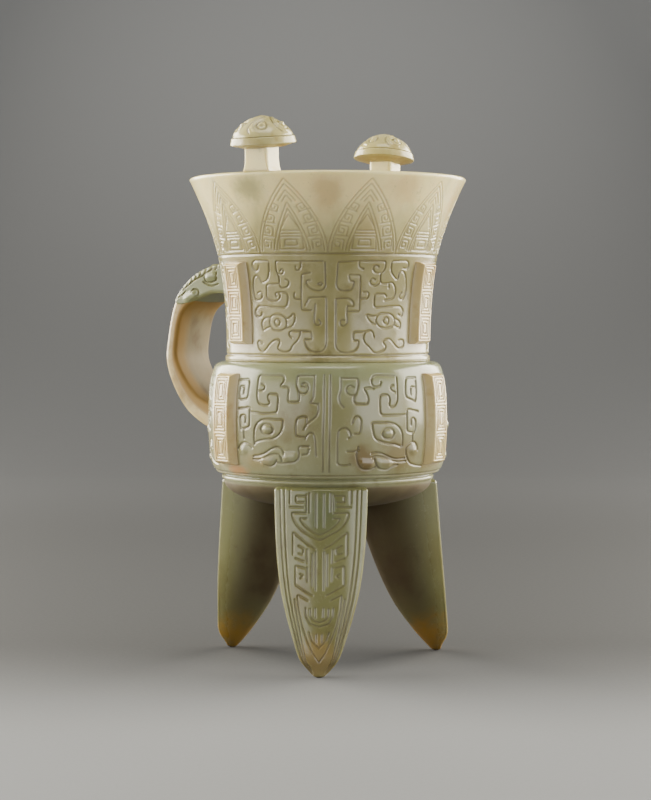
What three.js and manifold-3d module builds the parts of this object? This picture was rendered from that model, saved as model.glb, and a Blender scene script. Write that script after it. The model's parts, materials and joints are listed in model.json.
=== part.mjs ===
// A carved jade jia: a three-legged wine cup with a flared neck, a drum belly, a strap handle that
// grows out of an animal head, two capped posts on the rim and six upright flanges.
// Units are millimetres, +Z is up, and the floor under the feet is z = 0. The handle points to -X.
import * as THREE from "three";
import { mergeVertices } from "three/addons/utils/BufferGeometryUtils.js";
import Module from "manifold-3d";

const wasm = await Module();
wasm.setup();

// Driving dimensions: the vessel
const legHeight = 59.8; // floor to the underside of the foot moulding
const mouldingHeight = 2.2;
const mouldingRadius = 35.3;
const bellyHeight = 37.4;
const bellyRadius = 39.8;
const bellyFootRadius = 34.6;
const bowlDrop = 9.2; // how far the round bottom hangs below the moulding
const neckHeight = 60.4;
const neckRadius = 33.6;
const neckBandHeight = 2.1;
const neckBandRadius = 34.0;
const rimRadius = 45.9;
const lipWidth = 3.0; // the flat top of the rim
const wall = 4.2;
const floorThickness = 8.0;
const hollowTaper = 4.5; // how much narrower the hollow is above its floor
const neckEdge = 0.45; // the softened corners of rim and bands

// Driving dimensions: legs
const legWidth = 30.2;
const legTopReach = 36.9; // axis to the outer face, at the top
const legSplay = 5.9; // how much further out the outer face is near the foot
const legRidgeTop = 9.5; // axis to the inner ridge, at the top
const footReach = 40.8;
const footFlat = 2.6; // the worn flat that each leg stands on
const legFaceRadius = 32; // how round the outer face is across
const legShoulder = 1.2; // the leg's top edge is eased by this much

// Driving dimensions: flanges
const flangeWidth = 8.2;
const flangeHeight = 2.6;
const flangeDraft = 1.1; // each side is this much wider at the root
const flangeEase = 1.0; // each end slopes down to the wall over this length
const neckFlangeLow = 5.8; // above the shoulder
const neckFlangeLength = 26.4;
const bellyFlangeLow = 4.4; // above the moulding
const bellyFlangeLength = 29.4;

// Driving dimensions: handle
const handleReach = 58.0; // axis to the outside of the strap
const handleWidth = 22.0;
const strapThickness = 4.3;
const handleTop = 132.4; // the crest of the head, where it leaves the neck
const handleRoot = 76; // where its outside meets the belly
const handleTopDepth = 11.3; // depth of the head where it leaves the neck
const handleRootDepth = 8.0; // depth of the strap where it meets the belly
const strapRound = 1.2;
const headShare = 0.345; // the share of the handle that the head takes up

// Driving dimensions: the carving of the head
const earRadius = 2.9;
const eyeRadius = 1.9;
const browRadius = 2.2;
const muzzleRadius = 3.2;

// Driving dimensions: posts and caps
const postSide = 8.6;
const postHeight = 6.9;
const postRadius = 41.4; // axis to the post's centre, at the rim
const postLean = 3.0; // outwards, in degrees
const postFlare = 1.17; // the foot is this much wider than the shaft
const corbelDrop = 9.0; // how far the post's root runs down inside the rim
const capRadius = 10.5;
const capBand = 2.4;
const capDome = 6.6;
const domeCurve = 1.33; // 1 is a round dome, 2 a cone
const capUnder = 1.5;
const capTilt = 7.0; // each cap hangs a little lower on its outer side, in degrees
const capInset = 1.2; // the cap sits this much nearer the axis than its post
const knobRadius = 1.2;

const gap = 0.3; // the hairline joint between two carved members
const steps = 60; // facets round the axis
const strapRows = 14; // facets along the strap

// Heights that follow from the sizes
const mouldingTop = legHeight + mouldingHeight;
const shoulder = mouldingTop + bellyHeight;
const rim = shoulder + neckHeight;

// Bearings round the axis, in degrees: the carver set them by eye, so they are a little uneven
const handleTurn = 180;
const legTurns = { front: -63.8, back: 54.8, handle: 173.5 };
const flangeTurns = { right: 0.5, front: -115.5, back: 120 };
const postTurns = { front: -90, back: 91.3 };

const jade = (color, roughness = 0.32) =>
  new THREE.MeshStandardMaterial({ color, roughness, metalness: 0 });
const cream = jade(0xd2cbb0);
const celadon = jade(0xa9ad8c);
const olive = jade(0x8d8a66);
const russet = jade(0xb59a6c);

const rad = THREE.MathUtils.degToRad;
const lerp = THREE.MathUtils.lerp;
const smooth = (t) => t * t * (3 - 2 * t);
const v2 = (x, y) => new THREE.Vector2(x, y);

// Solids
function solidOf(geometry) {
  const bare = geometry.clone();
  for (const name of Object.keys(bare.attributes)) {
    if (name !== "position") bare.deleteAttribute(name);
  }
  const merged = mergeVertices(bare, 1e-4);
  return new wasm.Manifold(
    new wasm.Mesh({
      numProp: 3,
      vertProperties: merged.attributes.position.array,
      triVerts: new Uint32Array(merged.index.array),
    }),
  );
}

function geometryOf(solid) {
  const mesh = solid.getMesh();
  const stride = mesh.numProp;
  const points = new Float32Array(mesh.numVert * 3);
  for (let i = 0; i < mesh.numVert; i++) {
    points.set(mesh.vertProperties.subarray(i * stride, i * stride + 3), i * 3);
  }
  const geometry = new THREE.BufferGeometry();
  geometry.setAttribute("position", new THREE.BufferAttribute(points, 3));
  geometry.setIndex(new THREE.BufferAttribute(new Uint32Array(mesh.triVerts), 1));
  geometry.computeVertexNormals();
  return geometry;
}

// Turns a profile of (radius, height) points round +Z.
function revolve(profile) {
  const geometry = new THREE.LatheGeometry(profile, steps);
  geometry.rotateX(Math.PI / 2);
  return geometry;
}

// Skins a stack of rings, each an array of Vector3 in the same order, and closes both ends.
function loft(rings) {
  const count = rings[0].length;
  const points = rings.flat();
  const faces = [];
  for (let i = 0; i + 1 < rings.length; i++) {
    for (let j = 0; j < count; j++) {
      const a = i * count + j;
      const b = i * count + ((j + 1) % count);
      faces.push(a, b, b + count, a, b + count, a + count);
    }
  }
  for (const [ring, flip] of [[0, true], [rings.length - 1, false]]) {
    const middle = new THREE.Vector3();
    rings[ring].forEach((p) => middle.addScaledVector(p, 1 / count));
    const centre = points.push(middle) - 1;
    for (let j = 0; j < count; j++) {
      const a = ring * count + j;
      const b = ring * count + ((j + 1) % count);
      faces.push(...(flip ? [centre, b, a] : [centre, a, b]));
    }
  }
  const geometry = new THREE.BufferGeometry().setFromPoints(points);
  geometry.setIndex(faces);
  return geometry;
}

// A square with round corners, as unit offsets from its middle, counter-clockwise.
function roundedSquare(halfA, halfB, corner, perCorner = 4) {
  const ring = [];
  for (const [sa, sb, start] of [[1, 1, 0], [-1, 1, 90], [-1, -1, 180], [1, -1, 270]]) {
    for (let k = 0; k < perCorner; k++) {
      const angle = rad(start + (90 * k) / (perCorner - 1));
      ring.push(
        v2(
          sa * (halfA - corner) + corner * Math.cos(angle),
          sb * (halfB - corner) + corner * Math.sin(angle),
        ),
      );
    }
  }
  return ring;
}

// The walls
const neckFoot = shoulder + neckBandHeight;
const neckFlare = new THREE.CubicBezierCurve(
  v2(neckRadius, neckFoot),
  v2(neckRadius, neckFoot + 0.44 * (rim - neckFoot)),
  v2(lerp(neckRadius, rimRadius, 0.23), neckFoot + 0.66 * (rim - neckFoot)),
  v2(rimRadius, rim - neckEdge),
);

function radiusOn(curve, z) {
  let low = 0;
  let high = 1;
  for (let i = 0; i < 30; i++) {
    const middle = (low + high) / 2;
    if (curve.getPoint(middle).y < z) low = middle;
    else high = middle;
  }
  return curve.getPoint(low).x;
}

function neckOutline(grow = 0) {
  return [
    v2(neckBandRadius + grow, shoulder),
    v2(neckBandRadius + grow, neckFoot - neckEdge),
    ...neckFlare.getPoints(12).map((p) => v2(p.x + grow, p.y)),
    v2(rimRadius - neckEdge + grow, rim),
  ];
}

function neckBore() {
  const throat = neckRadius - wall;
  const flare = new THREE.CubicBezierCurve(
    v2(rimRadius - neckEdge - lipWidth, rim),
    v2(lerp(throat, rimRadius - lipWidth, 0.34), neckFoot + 0.7 * (rim - neckFoot)),
    v2(throat + 0.4, neckFoot + 0.45 * (rim - neckFoot)),
    v2(throat, shoulder),
  );
  return flare.getPoints(8);
}

function neck() {
  const outline = [...neckOutline(), ...neckBore()];
  outline.push(outline[0].clone());
  return revolve(outline);
}

const bellyBulge = new THREE.SplineCurve([
  v2(bellyFootRadius, mouldingTop),
  v2(lerp(bellyFootRadius, bellyRadius, 0.5), mouldingTop + 0.03 * bellyHeight),
  v2(lerp(bellyFootRadius, bellyRadius, 0.82), mouldingTop + 0.13 * bellyHeight),
  v2(bellyRadius - 0.25, mouldingTop + 0.3 * bellyHeight),
  v2(bellyRadius, mouldingTop + 0.5 * bellyHeight),
  v2(bellyRadius - 0.45, mouldingTop + 0.75 * bellyHeight),
  v2(bellyRadius - 1.5, mouldingTop + 0.9 * bellyHeight),
  v2(lerp(neckBandRadius, bellyRadius, 0.5), mouldingTop + 0.975 * bellyHeight),
  v2(neckBandRadius, shoulder),
]);

// The round bottom, as its radius at a height below the moulding.
function bowlPoints(grow = 0, count = 6) {
  const points = [];
  for (let i = 0; i <= count; i++) {
    const angle = rad((90 * i) / count);
    const x = Math.sin(angle) ** 0.9 * (mouldingRadius - 0.8);
    points.push(v2(x + (i ? grow : 0), legHeight - bowlDrop * Math.cos(angle) - grow));
  }
  return points;
}

function bellyOutline(grow = 0) {
  return [
    ...bowlPoints(grow),
    v2(mouldingRadius + grow, legHeight + 0.3 * mouldingHeight - grow),
    v2(mouldingRadius + grow, mouldingTop - 0.3 * mouldingHeight),
    ...bellyBulge.getPoints(14).map((p) => v2(p.x + grow, p.y)),
  ];
}

function belly() {
  const throat = neckRadius - wall;
  const well = new THREE.SplineCurve([
    v2(throat, shoulder),
    v2(throat + 0.6, shoulder - 0.1 * bellyHeight),
    v2(bellyRadius - wall - 0.8, shoulder - 0.36 * bellyHeight),
    v2(bellyRadius - wall - 0.6, shoulder - 0.6 * bellyHeight),
    v2(bellyRadius - wall - hollowTaper, mouldingTop + 0.08 * bellyHeight),
    v2(0.6 * bellyRadius, legHeight - bowlDrop + floorThickness + 1.6),
    v2(0.35 * bellyRadius, legHeight - bowlDrop + floorThickness),
  ]);
  const floor = v2(0, legHeight - bowlDrop + floorThickness);
  return revolve([...bellyOutline(), ...well.getPoints(11), floor]);
}

// The legs: a broad outer face like a leaf, and flanks that close on an inner ridge
const leafWidths = new THREE.SplineCurve([
  v2(footFlat / 2, 0),
  v2(0.125 * legWidth, 0.04 * legHeight),
  v2(0.212 * legWidth, 0.1 * legHeight),
  v2(0.288 * legWidth, 0.21 * legHeight),
  v2(0.36 * legWidth, 0.33 * legHeight),
  v2(0.43 * legWidth, 0.49 * legHeight),
  v2(0.475 * legWidth, 0.7 * legHeight),
  v2(0.5 * legWidth, legHeight),
]);
const outerReach = new THREE.SplineCurve([
  v2(footReach + footFlat / 2, 0),
  v2(lerp(legTopReach, legTopReach + legSplay, 0.86), 0.04 * legHeight),
  v2(legTopReach + legSplay, 0.12 * legHeight),
  v2(legTopReach + 0.72 * legSplay, 0.3 * legHeight),
  v2(legTopReach + 0.36 * legSplay, 0.6 * legHeight),
  v2(legTopReach, legHeight),
]);
const ridgeReach = new THREE.SplineCurve([
  v2(footReach - footFlat / 2, 0),
  v2(lerp(legRidgeTop, footReach, 0.72), 0.13 * legHeight),
  v2(lerp(legRidgeTop, footReach, 0.46), 0.31 * legHeight),
  v2(lerp(legRidgeTop, footReach, 0.22), 0.57 * legHeight),
  v2(lerp(legRidgeTop, footReach, 0.07), 0.8 * legHeight),
  v2(legRidgeTop, legHeight),
]);

// One level of a leg: x is the distance from the vessel's axis, y runs across the leg.
function legRing(z, ease = 0) {
  const half = radiusOn(leafWidths, z) - ease;
  const outer = radiusOn(outerReach, z) - ease;
  const inner = radiusOn(ridgeReach, z);
  const facePoints = 8;
  const flankPoints = 8;
  const spread = Math.asin(Math.min(0.95, half / legFaceRadius));
  const ring = [];
  for (let i = 0; i <= facePoints; i++) {
    const angle = spread * ((2 * i) / facePoints - 1);
    ring.push(
      new THREE.Vector3(
        outer - legFaceRadius * (1 - Math.cos(angle)),
        legFaceRadius * Math.sin(angle),
        z,
      ),
    );
  }
  const edge = outer - legFaceRadius * (1 - Math.cos(spread));
  const flank = [];
  for (let i = 1; i < flankPoints; i++) {
    const s = i / flankPoints;
    flank.push(v2(lerp(edge, inner, s), half * (1 - s ** 2.1) ** 0.72));
  }
  flank.forEach((p) => ring.push(new THREE.Vector3(p.x, p.y, z)));
  ring.push(new THREE.Vector3(inner, 0, z));
  flank.reverse().forEach((p) => ring.push(new THREE.Vector3(p.x, -p.y, z)));
  return ring;
}

function leg(turn) {
  const levels = [0, 0.02, 0.05, 0.09, 0.15, 0.23, 0.33, 0.45, 0.58, 0.72, 0.86];
  const rings = levels.map((share) => legRing(share * legHeight));
  rings.push(legRing(legHeight - legShoulder), legRing(legHeight, legShoulder));
  const body = loft(rings);
  const bowl = solidOf(revolve([...bellyOutline(gap), v2(0, shoulder)]));
  const cut = solidOf(body).subtract(bowl);
  const geometry = geometryOf(cut);
  geometry.rotateZ(rad(turn));
  return geometry;
}

// An upright flange that follows the wall, with a gap behind it; its sides and ends slope outwards
function flange(wallRadius, low, length, turn) {
  const rings = [];
  const rows = 8;
  const ringAt = (z, rise) => {
    const root = wallRadius(z) + gap;
    const share = rise / flangeHeight;
    const halfRoot = flangeWidth / 2 + flangeDraft;
    const halfFace = lerp(halfRoot, flangeWidth / 2, share);
    const ring = [];
    for (let k = 0; k <= 4; k++) {
      const y = halfRoot * (1 - k / 2);
      ring.push(new THREE.Vector3(Math.sqrt(root ** 2 - y ** 2), y, z));
    }
    for (let k = 0; k <= 2; k++) {
      ring.push(new THREE.Vector3(root + rise - gap, halfFace * (k - 1), z));
    }
    return ring;
  };
  const lip = 0.3 * flangeHeight;
  rings.push(ringAt(low, lip));
  for (let i = 0; i <= rows; i++) {
    rings.push(ringAt(low + flangeEase + ((length - 2 * flangeEase) * i) / rows, flangeHeight));
  }
  rings.push(ringAt(low + length, lip));
  const geometry = loft(rings);
  geometry.rotateZ(rad(turn));
  return geometry;
}

// The handle's middle line, in its own upright plane, and how deep the handle is along it
const topMiddle = handleTop - handleTopDepth / 2;
const rootMiddle = handleRoot + handleRootDepth / 2;
const strapReach = handleReach - strapThickness / 2;
const handleLine = new THREE.SplineCurve([
  v2(neckRadius - 1, topMiddle + 0.4),
  v2(lerp(neckRadius, strapReach, 0.4), topMiddle - 1.3),
  v2(lerp(neckRadius, strapReach, 0.82), lerp(rootMiddle, topMiddle, 0.815)),
  v2(strapReach - 0.6, lerp(rootMiddle, topMiddle, 0.575)),
  v2(strapReach - 0.7, lerp(rootMiddle, topMiddle, 0.363)),
  v2(lerp(bellyRadius, strapReach, 0.5), lerp(rootMiddle, topMiddle, 0.11)),
  v2(bellyRadius - 3, rootMiddle - 1.6),
]);

function handleDepth(share) {
  const top = (handleTopDepth - strapThickness) * (1 - smooth(Math.min(1, share / 0.44)));
  const root = (handleRootDepth - strapThickness) * smooth(Math.max(0, (share - 0.5) / 0.5));
  return strapThickness + top + root;
}

// A point of the handle's plane: a share of the way along, and so far out from the middle line.
function onHandle(share, out) {
  const point = handleLine.getPoint(share);
  const along = handleLine.getTangent(share);
  return v2(point.x - along.y * out, point.y + along.x * out);
}

// The handle's body from one share of its length to another
function handleBody(from, to, rows, grow = 0) {
  const rings = [];
  for (let i = 0; i <= rows; i++) {
    const share = lerp(from, to, i / rows);
    const half = handleDepth(share) / 2 + grow;
    const across = (handleWidth / 2) * (1 - 0.06 * smooth(share)) + grow;
    rings.push(
      roundedSquare(half, across, strapRound, 3).map((p) => {
        const place = onHandle(share, p.x);
        return new THREE.Vector3(place.x, p.y, place.y);
      }),
    );
  }
  return solidOf(loft(rings.reverse()));
}

function walls(grow) {
  const cup = solidOf(revolve([...bellyOutline(grow), v2(0, shoulder)]));
  const throat = solidOf(
    revolve([v2(0, shoulder - 1), v2(neckBandRadius + grow, shoulder - 1), ...neckOutline(grow),
      v2(0, rim)]),
  );
  return cup.add(throat);
}

function handle() {
  const geometry = geometryOf(handleBody(headShare, 1, strapRows).subtract(walls(gap)));
  geometry.rotateZ(rad(handleTurn));
  return geometry;
}

// A carved swelling on the head, at a share of the handle's length, stretched along, across and out
function swelling(radius, share, out, side, stretch = [1, 1, 1]) {
  const along = handleLine.getTangent(share);
  const place = onHandle(share, out);
  const geometry = new THREE.SphereGeometry(radius, 12, 7);
  geometry.scale(...stretch);
  geometry.rotateY(-Math.atan2(along.y, along.x));
  geometry.translate(place.x, side, place.y);
  return solidOf(geometry);
}

// The animal head from whose jaws the strap comes: ears, eyes, brow ridge and muzzle
function head() {
  let solid = handleBody(0, headShare, 9);
  const top = (share) => handleDepth(share * headShare) / 2;
  const half = handleWidth / 2;
  const add = (radius, share, sink, side, stretch) => {
    solid = solid.add(swelling(radius, share * headShare, top(share) - sink, side, stretch));
  };
  add(browRadius, 0.5, 0.9, 0, [3.6, 0.8, 0.75]);
  for (const side of [-1, 1]) {
    add(earRadius, 0.36, 1.2, side * (half - 0.75 * earRadius), [1.35, 1, 0.7]);
    add(eyeRadius, 0.62, 0.5, side * 0.42 * half, [1.2, 1, 0.8]);
    add(muzzleRadius, 0.84, 1.3, side * 0.5 * half, [0.9, 1.35, 0.62]);
  }
  const strap = handleBody(headShare - 0.01, 1, strapRows, gap);
  const geometry = geometryOf(solid.subtract(strap).subtract(walls(gap)));
  geometry.rotateZ(rad(handleTurn));
  return geometry;
}

// Posts: rounded square shafts with a flared foot and a root that runs down inside the rim
function post(turn) {
  const lean = Math.tan(rad(postLean));
  const levels = [
    { z: rim - corbelDrop, size: 0.34, shift: 0.2 },
    { z: rim - 0.6 * corbelDrop, size: 0.7, shift: 0.12 },
    { z: rim - 0.2 * corbelDrop, size: 1.08, shift: 0 },
    { z: rim + gap, size: postFlare, shift: 0 },
    { z: rim + 0.12 * postHeight, size: 1.08, shift: 0 },
    { z: rim + 0.35 * postHeight, size: 1.02, shift: 0 },
    { z: rim + 0.7 * postHeight, size: 0.98, shift: 0 },
    { z: rim + postHeight, size: 1, shift: 0 },
  ];
  const rings = levels.map(({ z, size, shift }) => {
    const half = (postSide / 2) * size;
    const edge = rimRadius - neckEdge;
    const tilt = z > rim + 0.99 * postHeight ? Math.tan(rad(capTilt)) : 0;
    return roundedSquare(half, half, 0.3 * half).map((p) => {
      const reach = Math.min(postRadius + shift + p.x, edge);
      return new THREE.Vector3(reach + (z - rim) * lean, p.y, z - p.x * tilt);
    });
  });
  const outside = rimRadius + 2 * postSide;
  const seat = [
    v2(outside, shoulder),
    v2(outside, rim + gap),
    v2(rimRadius - neckEdge - lipWidth - gap, rim + gap),
    ...neckBore().map((p) => v2(p.x - gap, p.y)),
    v2(outside, shoulder),
  ];
  const geometry = geometryOf(solidOf(loft(rings)).subtract(solidOf(revolve(seat))));
  geometry.rotateZ(rad(turn));
  return geometry;
}

// Mushroom caps: a slanting band, a groove and a dome with a knob and four curling arms
function cap() {
  const under = postSide / 2 + 0.6;
  const dome = [];
  const rows = 6;
  for (let i = 0; i <= rows; i++) {
    const angle = rad((90 * i) / rows);
    dome.push(
      v2(
        (capRadius - 0.9) * Math.cos(angle) ** domeCurve,
        capUnder + capBand + capDome * Math.sin(angle) ** domeCurve,
      ),
    );
  }
  dome[rows].x = 0;
  const profile = [
    v2(0, 0),
    v2(under, 0),
    v2(lerp(under, capRadius, 0.6), 0.45 * capUnder),
    v2(capRadius, capUnder),
    v2(capRadius + 0.05, capUnder + 0.3),
    v2(capRadius - 0.62, capUnder + capBand - 0.3),
    v2(capRadius - 1.05, capUnder + capBand - 0.15),
    ...dome,
  ];
  const geometry = new THREE.LatheGeometry(profile, 24);
  geometry.rotateX(Math.PI / 2);
  let solid = solidOf(geometry);
  for (let i = 0; i < 4; i++) {
    const angle = rad(45 + 90 * i);
    const reach = 0.52 * capRadius;
    const height = capUnder + capBand + 0.6 * capDome;
    const knob = new THREE.SphereGeometry(knobRadius, 10, 6);
    knob.translate(reach * Math.cos(angle), reach * Math.sin(angle), height);
    solid = solid.add(solidOf(knob));
  }
  return geometryOf(solid);
}

function placeCap(mesh, turn) {
  const pivot = new THREE.Group();
  pivot.rotation.z = rad(turn);
  mesh.position.set(
    postRadius + postHeight * Math.tan(rad(postLean)) - capInset,
    0,
    rim + postHeight + capInset * Math.tan(rad(capTilt)) + gap / Math.cos(rad(capTilt)),
  );
  mesh.rotation.y = rad(capTilt);
  pivot.add(mesh);
  return pivot;
}

function piece(name, geometry, material) {
  const mesh = new THREE.Mesh(geometry, material);
  mesh.name = name;
  return mesh;
}

// Assembly
const vessel = new THREE.Group();
vessel.add(piece("neck", neck(), cream));
vessel.add(piece("belly", belly(), celadon));
for (const [side, turn] of Object.entries(legTurns)) {
  vessel.add(piece(`${side}_leg`, leg(turn), olive));
}
for (const [side, turn] of Object.entries(flangeTurns)) {
  const onNeck = (z) => radiusOn(neckFlare, z);
  const onBelly = (z) => radiusOn(bellyBulge, z);
  const low = shoulder + neckFlangeLow;
  const under = mouldingTop + bellyFlangeLow;
  vessel.add(piece(`neck_flange_${side}`, flange(onNeck, low, neckFlangeLength, turn), russet));
  vessel.add(piece(`belly_flange_${side}`, flange(onBelly, under, bellyFlangeLength, turn), russet));
}
vessel.add(piece("handle", handle(), russet));
vessel.add(piece("handle_head", head(), celadon));
for (const [side, turn] of Object.entries(postTurns)) {
  vessel.add(piece(`${side}_post`, post(turn), cream));
  vessel.add(placeCap(piece(`${side}_post_cap`, cap(), russet), turn));
}

// The origin is the middle of the space that the vessel stands in, at the height of its feet.
const room = new THREE.Box3().setFromObject(vessel, true);
const middle = room.getCenter(new THREE.Vector3());
vessel.position.set(-middle.x, -middle.y, -room.min.z);

export default vessel;
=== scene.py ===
# %% [markdown]
# # A carved jade jia
# This lesson dresses a three-legged cup of pale jade. The carver worked it from one block, so the
# whole surface is one polished stone, and everything that catches the eye is cut into that skin.
# The CAD model brings the true sizes. Each step here adds what the carver added last: fine lines,
# swellings, and the cloudy colour of the stone.

# %% The fixed frame
import json
import math

import bmesh
import bpy
import numpy as np
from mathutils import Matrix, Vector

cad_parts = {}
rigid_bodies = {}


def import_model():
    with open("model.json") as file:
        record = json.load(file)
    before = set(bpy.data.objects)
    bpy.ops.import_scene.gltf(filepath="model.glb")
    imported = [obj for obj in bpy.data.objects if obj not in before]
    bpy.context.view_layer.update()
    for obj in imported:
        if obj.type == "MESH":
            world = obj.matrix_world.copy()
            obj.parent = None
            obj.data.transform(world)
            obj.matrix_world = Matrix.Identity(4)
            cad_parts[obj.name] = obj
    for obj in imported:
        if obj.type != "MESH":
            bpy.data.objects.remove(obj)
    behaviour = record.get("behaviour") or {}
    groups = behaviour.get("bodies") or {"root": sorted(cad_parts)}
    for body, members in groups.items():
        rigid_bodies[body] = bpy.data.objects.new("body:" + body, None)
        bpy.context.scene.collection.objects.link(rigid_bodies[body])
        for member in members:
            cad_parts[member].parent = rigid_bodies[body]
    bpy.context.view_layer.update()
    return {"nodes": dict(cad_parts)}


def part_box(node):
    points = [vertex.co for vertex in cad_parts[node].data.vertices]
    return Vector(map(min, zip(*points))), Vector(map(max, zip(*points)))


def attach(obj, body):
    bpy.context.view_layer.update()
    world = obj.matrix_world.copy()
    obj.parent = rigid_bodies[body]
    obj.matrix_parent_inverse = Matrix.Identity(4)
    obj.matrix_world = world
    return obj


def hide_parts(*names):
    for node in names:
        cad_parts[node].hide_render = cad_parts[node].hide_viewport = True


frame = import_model()

MM = 0.001
neck_low, neck_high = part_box("neck")
AXIS = np.array([(neck_low.x + neck_high.x) / 2, (neck_low.y + neck_high.y) / 2, 0.0])


def cos_sin(degrees):
    """The cosine and the sine of an angle in degrees."""
    return math.cos(math.radians(degrees)), math.sin(math.radians(degrees))


print("The vessel's axis stands at", np.round(AXIS / MM, 2), "mm; CAD nodes:", len(frame["nodes"]))

# %% [markdown]
# The photograph looks at the vessel from in front and a little to one side, from far away, with the
# eye at the height of the neck. A long lens keeps the legs and the rim in their true proportion.
# The camera is placed by its bearing round the axis, its distance and its height.

# %% Camera
VIEW_BEARING = math.radians(30)
VIEW_DISTANCE = 733 * MM
EYE_HEIGHT = 114.3 * MM
EYE_ASIDE = -0.73 * MM
LOOK_DOWN = math.radians(2.19)

view_back = np.array([math.sin(VIEW_BEARING), -math.cos(VIEW_BEARING), 0.0])
view_right = np.array([math.cos(VIEW_BEARING), math.sin(VIEW_BEARING), 0.0])

lens = bpy.data.cameras.new("view")
lens.sensor_fit = "VERTICAL"
lens.sensor_height = 36
lens.lens = 98.96
camera = bpy.data.objects.new("view", lens)
camera.location = AXIS + view_back * VIEW_DISTANCE + view_right * EYE_ASIDE + [0, 0, EYE_HEIGHT]
camera.rotation_euler = (math.pi / 2 - LOOK_DOWN, 0, VIEW_BEARING)
bpy.context.scene.collection.objects.link(camera)
bpy.context.scene.camera = camera
print("Camera at", [round(value, 3) for value in camera.location])

# %% [markdown]
# The cup stands on a plain grey sweep of paper, which curves up behind it; the way it darkens behind the cup
# is painted into its colour. One smooth strip makes floor and backdrop, so no line shows where they meet.

# %% Paper sweep
def paper_sweep(name, half_width, front, back, height, bend):
    """A strip that lies in front, bends up over a quarter circle and stands behind."""
    outline = [(-front, 0.0)]
    for step in range(25):
        angle = math.pi / 2 * step / 24
        outline.append((back - bend + bend * math.sin(angle), bend - bend * math.cos(angle)))
    outline.append((back, height))
    verts = []
    for side in (-half_width, half_width):
        for away, up in outline:
            verts.append(tuple(AXIS - view_back * away + view_right * side + np.array([0, 0, up])))
    count = len(outline)
    faces = [(row, row + count, row + count + 1, row + 1) for row in range(count - 1)]
    mesh = bpy.data.meshes.new(name)
    mesh.from_pydata(verts, [], faces)
    mesh.polygons.foreach_set("use_smooth", [True] * len(faces))
    sweep = bpy.data.objects.new(name, mesh)
    bpy.context.scene.collection.objects.link(sweep)
    return sweep


floor = paper_sweep("paper_sweep", half_width=3.0, front=1.6, back=1.5, height=3.0, bend=0.7)
print("Paper sweep:", len(floor.data.polygons), "faces")

# %% [markdown]
# Four soft panels stand low round the cup, two on each side. The polished stone mirrors the front
# pair as pale strips, and the gap between them, behind the camera, leaves a darker band down the
# middle of every round wall. The stronger rear pair, slightly warm, edges the outline with light.
# That is what makes the cup look round. A panel overhead softens the domes and the shoulder, and
# a light behind the cup keeps the paper even.

# %% Soft lights
def soft_light(name, bearing, distance, height, size, power, aim=(0, 0, 0.09), colour=(1, 1, 1)):
    """A rectangular area light at a bearing from the camera's direction, seen from the axis."""
    light = bpy.data.lights.new(name, "AREA")
    light.shape = "RECTANGLE"
    light.size, light.size_y = size
    light.energy = power
    light.color = colour
    away = math.radians(bearing) + VIEW_BEARING - math.pi / 2
    place = AXIS + np.array([math.cos(away) * distance, math.sin(away) * distance, height])
    direction = AXIS + np.array(aim) - place
    lamp = bpy.data.objects.new(name, light)
    lamp.location = place
    flat = math.hypot(direction[0], direction[1])
    lamp.rotation_euler = (math.atan2(flat, -direction[2]), 0, math.atan2(-direction[0], direction[1]))
    bpy.context.scene.collection.objects.link(lamp)


WARM = (1.0, 0.94, 0.81)
BACKDROP_AIM = tuple(-1.5 * view_back + np.array([0, 0, 0.5]))
soft_light("left_front", bearing=-46, distance=0.85, height=0.19, size=(0.9, 0.36), power=2.9)
soft_light("left_rear", bearing=-112, distance=0.85, height=0.34, size=(1.15, 0.62), power=40, colour=WARM)
soft_light("right_front", bearing=51, distance=0.85, height=0.19, size=(0.8, 0.36), power=3.9)
soft_light("right_rear", bearing=114, distance=0.85, height=0.34, size=(1.15, 0.62), power=35, colour=WARM)
soft_light("overhead", bearing=0, distance=0.25, height=1.15, size=(0.7, 0.5), power=8, colour=WARM)
soft_light("paper_light", bearing=180, distance=0.5, height=1.6, size=(1.6, 0.5), power=3, aim=BACKDROP_AIM)

world = bpy.data.worlds.new("studio")
world.use_nodes = True
world.node_tree.nodes["Background"].inputs["Color"].default_value = (0.75, 0.77, 0.8, 1)
world.node_tree.nodes["Background"].inputs["Strength"].default_value = 0.02
bpy.context.scene.world = world

# %% [markdown]
# Nodes are the language of both trees and finishes, and this lesson writes them as text. One class
# makes any node from its type, its settings and its sockets. A second one wraps a socket, so that
# a mask or a mixture can be written as plain arithmetic and reads like the thought behind it.

# %% Nodes as text
class Value:
    """A socket that takes part in Python expressions; each operation adds one Math node."""

    def __init__(self, build, socket):
        self.build, self.socket = build, socket

    def __add__(self, other):
        return self.build.maths("ADD", self, other)

    def __sub__(self, other):
        return self.build.maths("SUBTRACT", self, other)

    def __rsub__(self, other):
        return self.build.maths("SUBTRACT", other, self)

    def __mul__(self, other):
        return self.build.maths("MULTIPLY", self, other)

    __radd__, __rmul__ = __add__, __mul__

    def over(self, other):
        """The greater of the two."""
        return self.build.maths("MAXIMUM", self, other)


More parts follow.
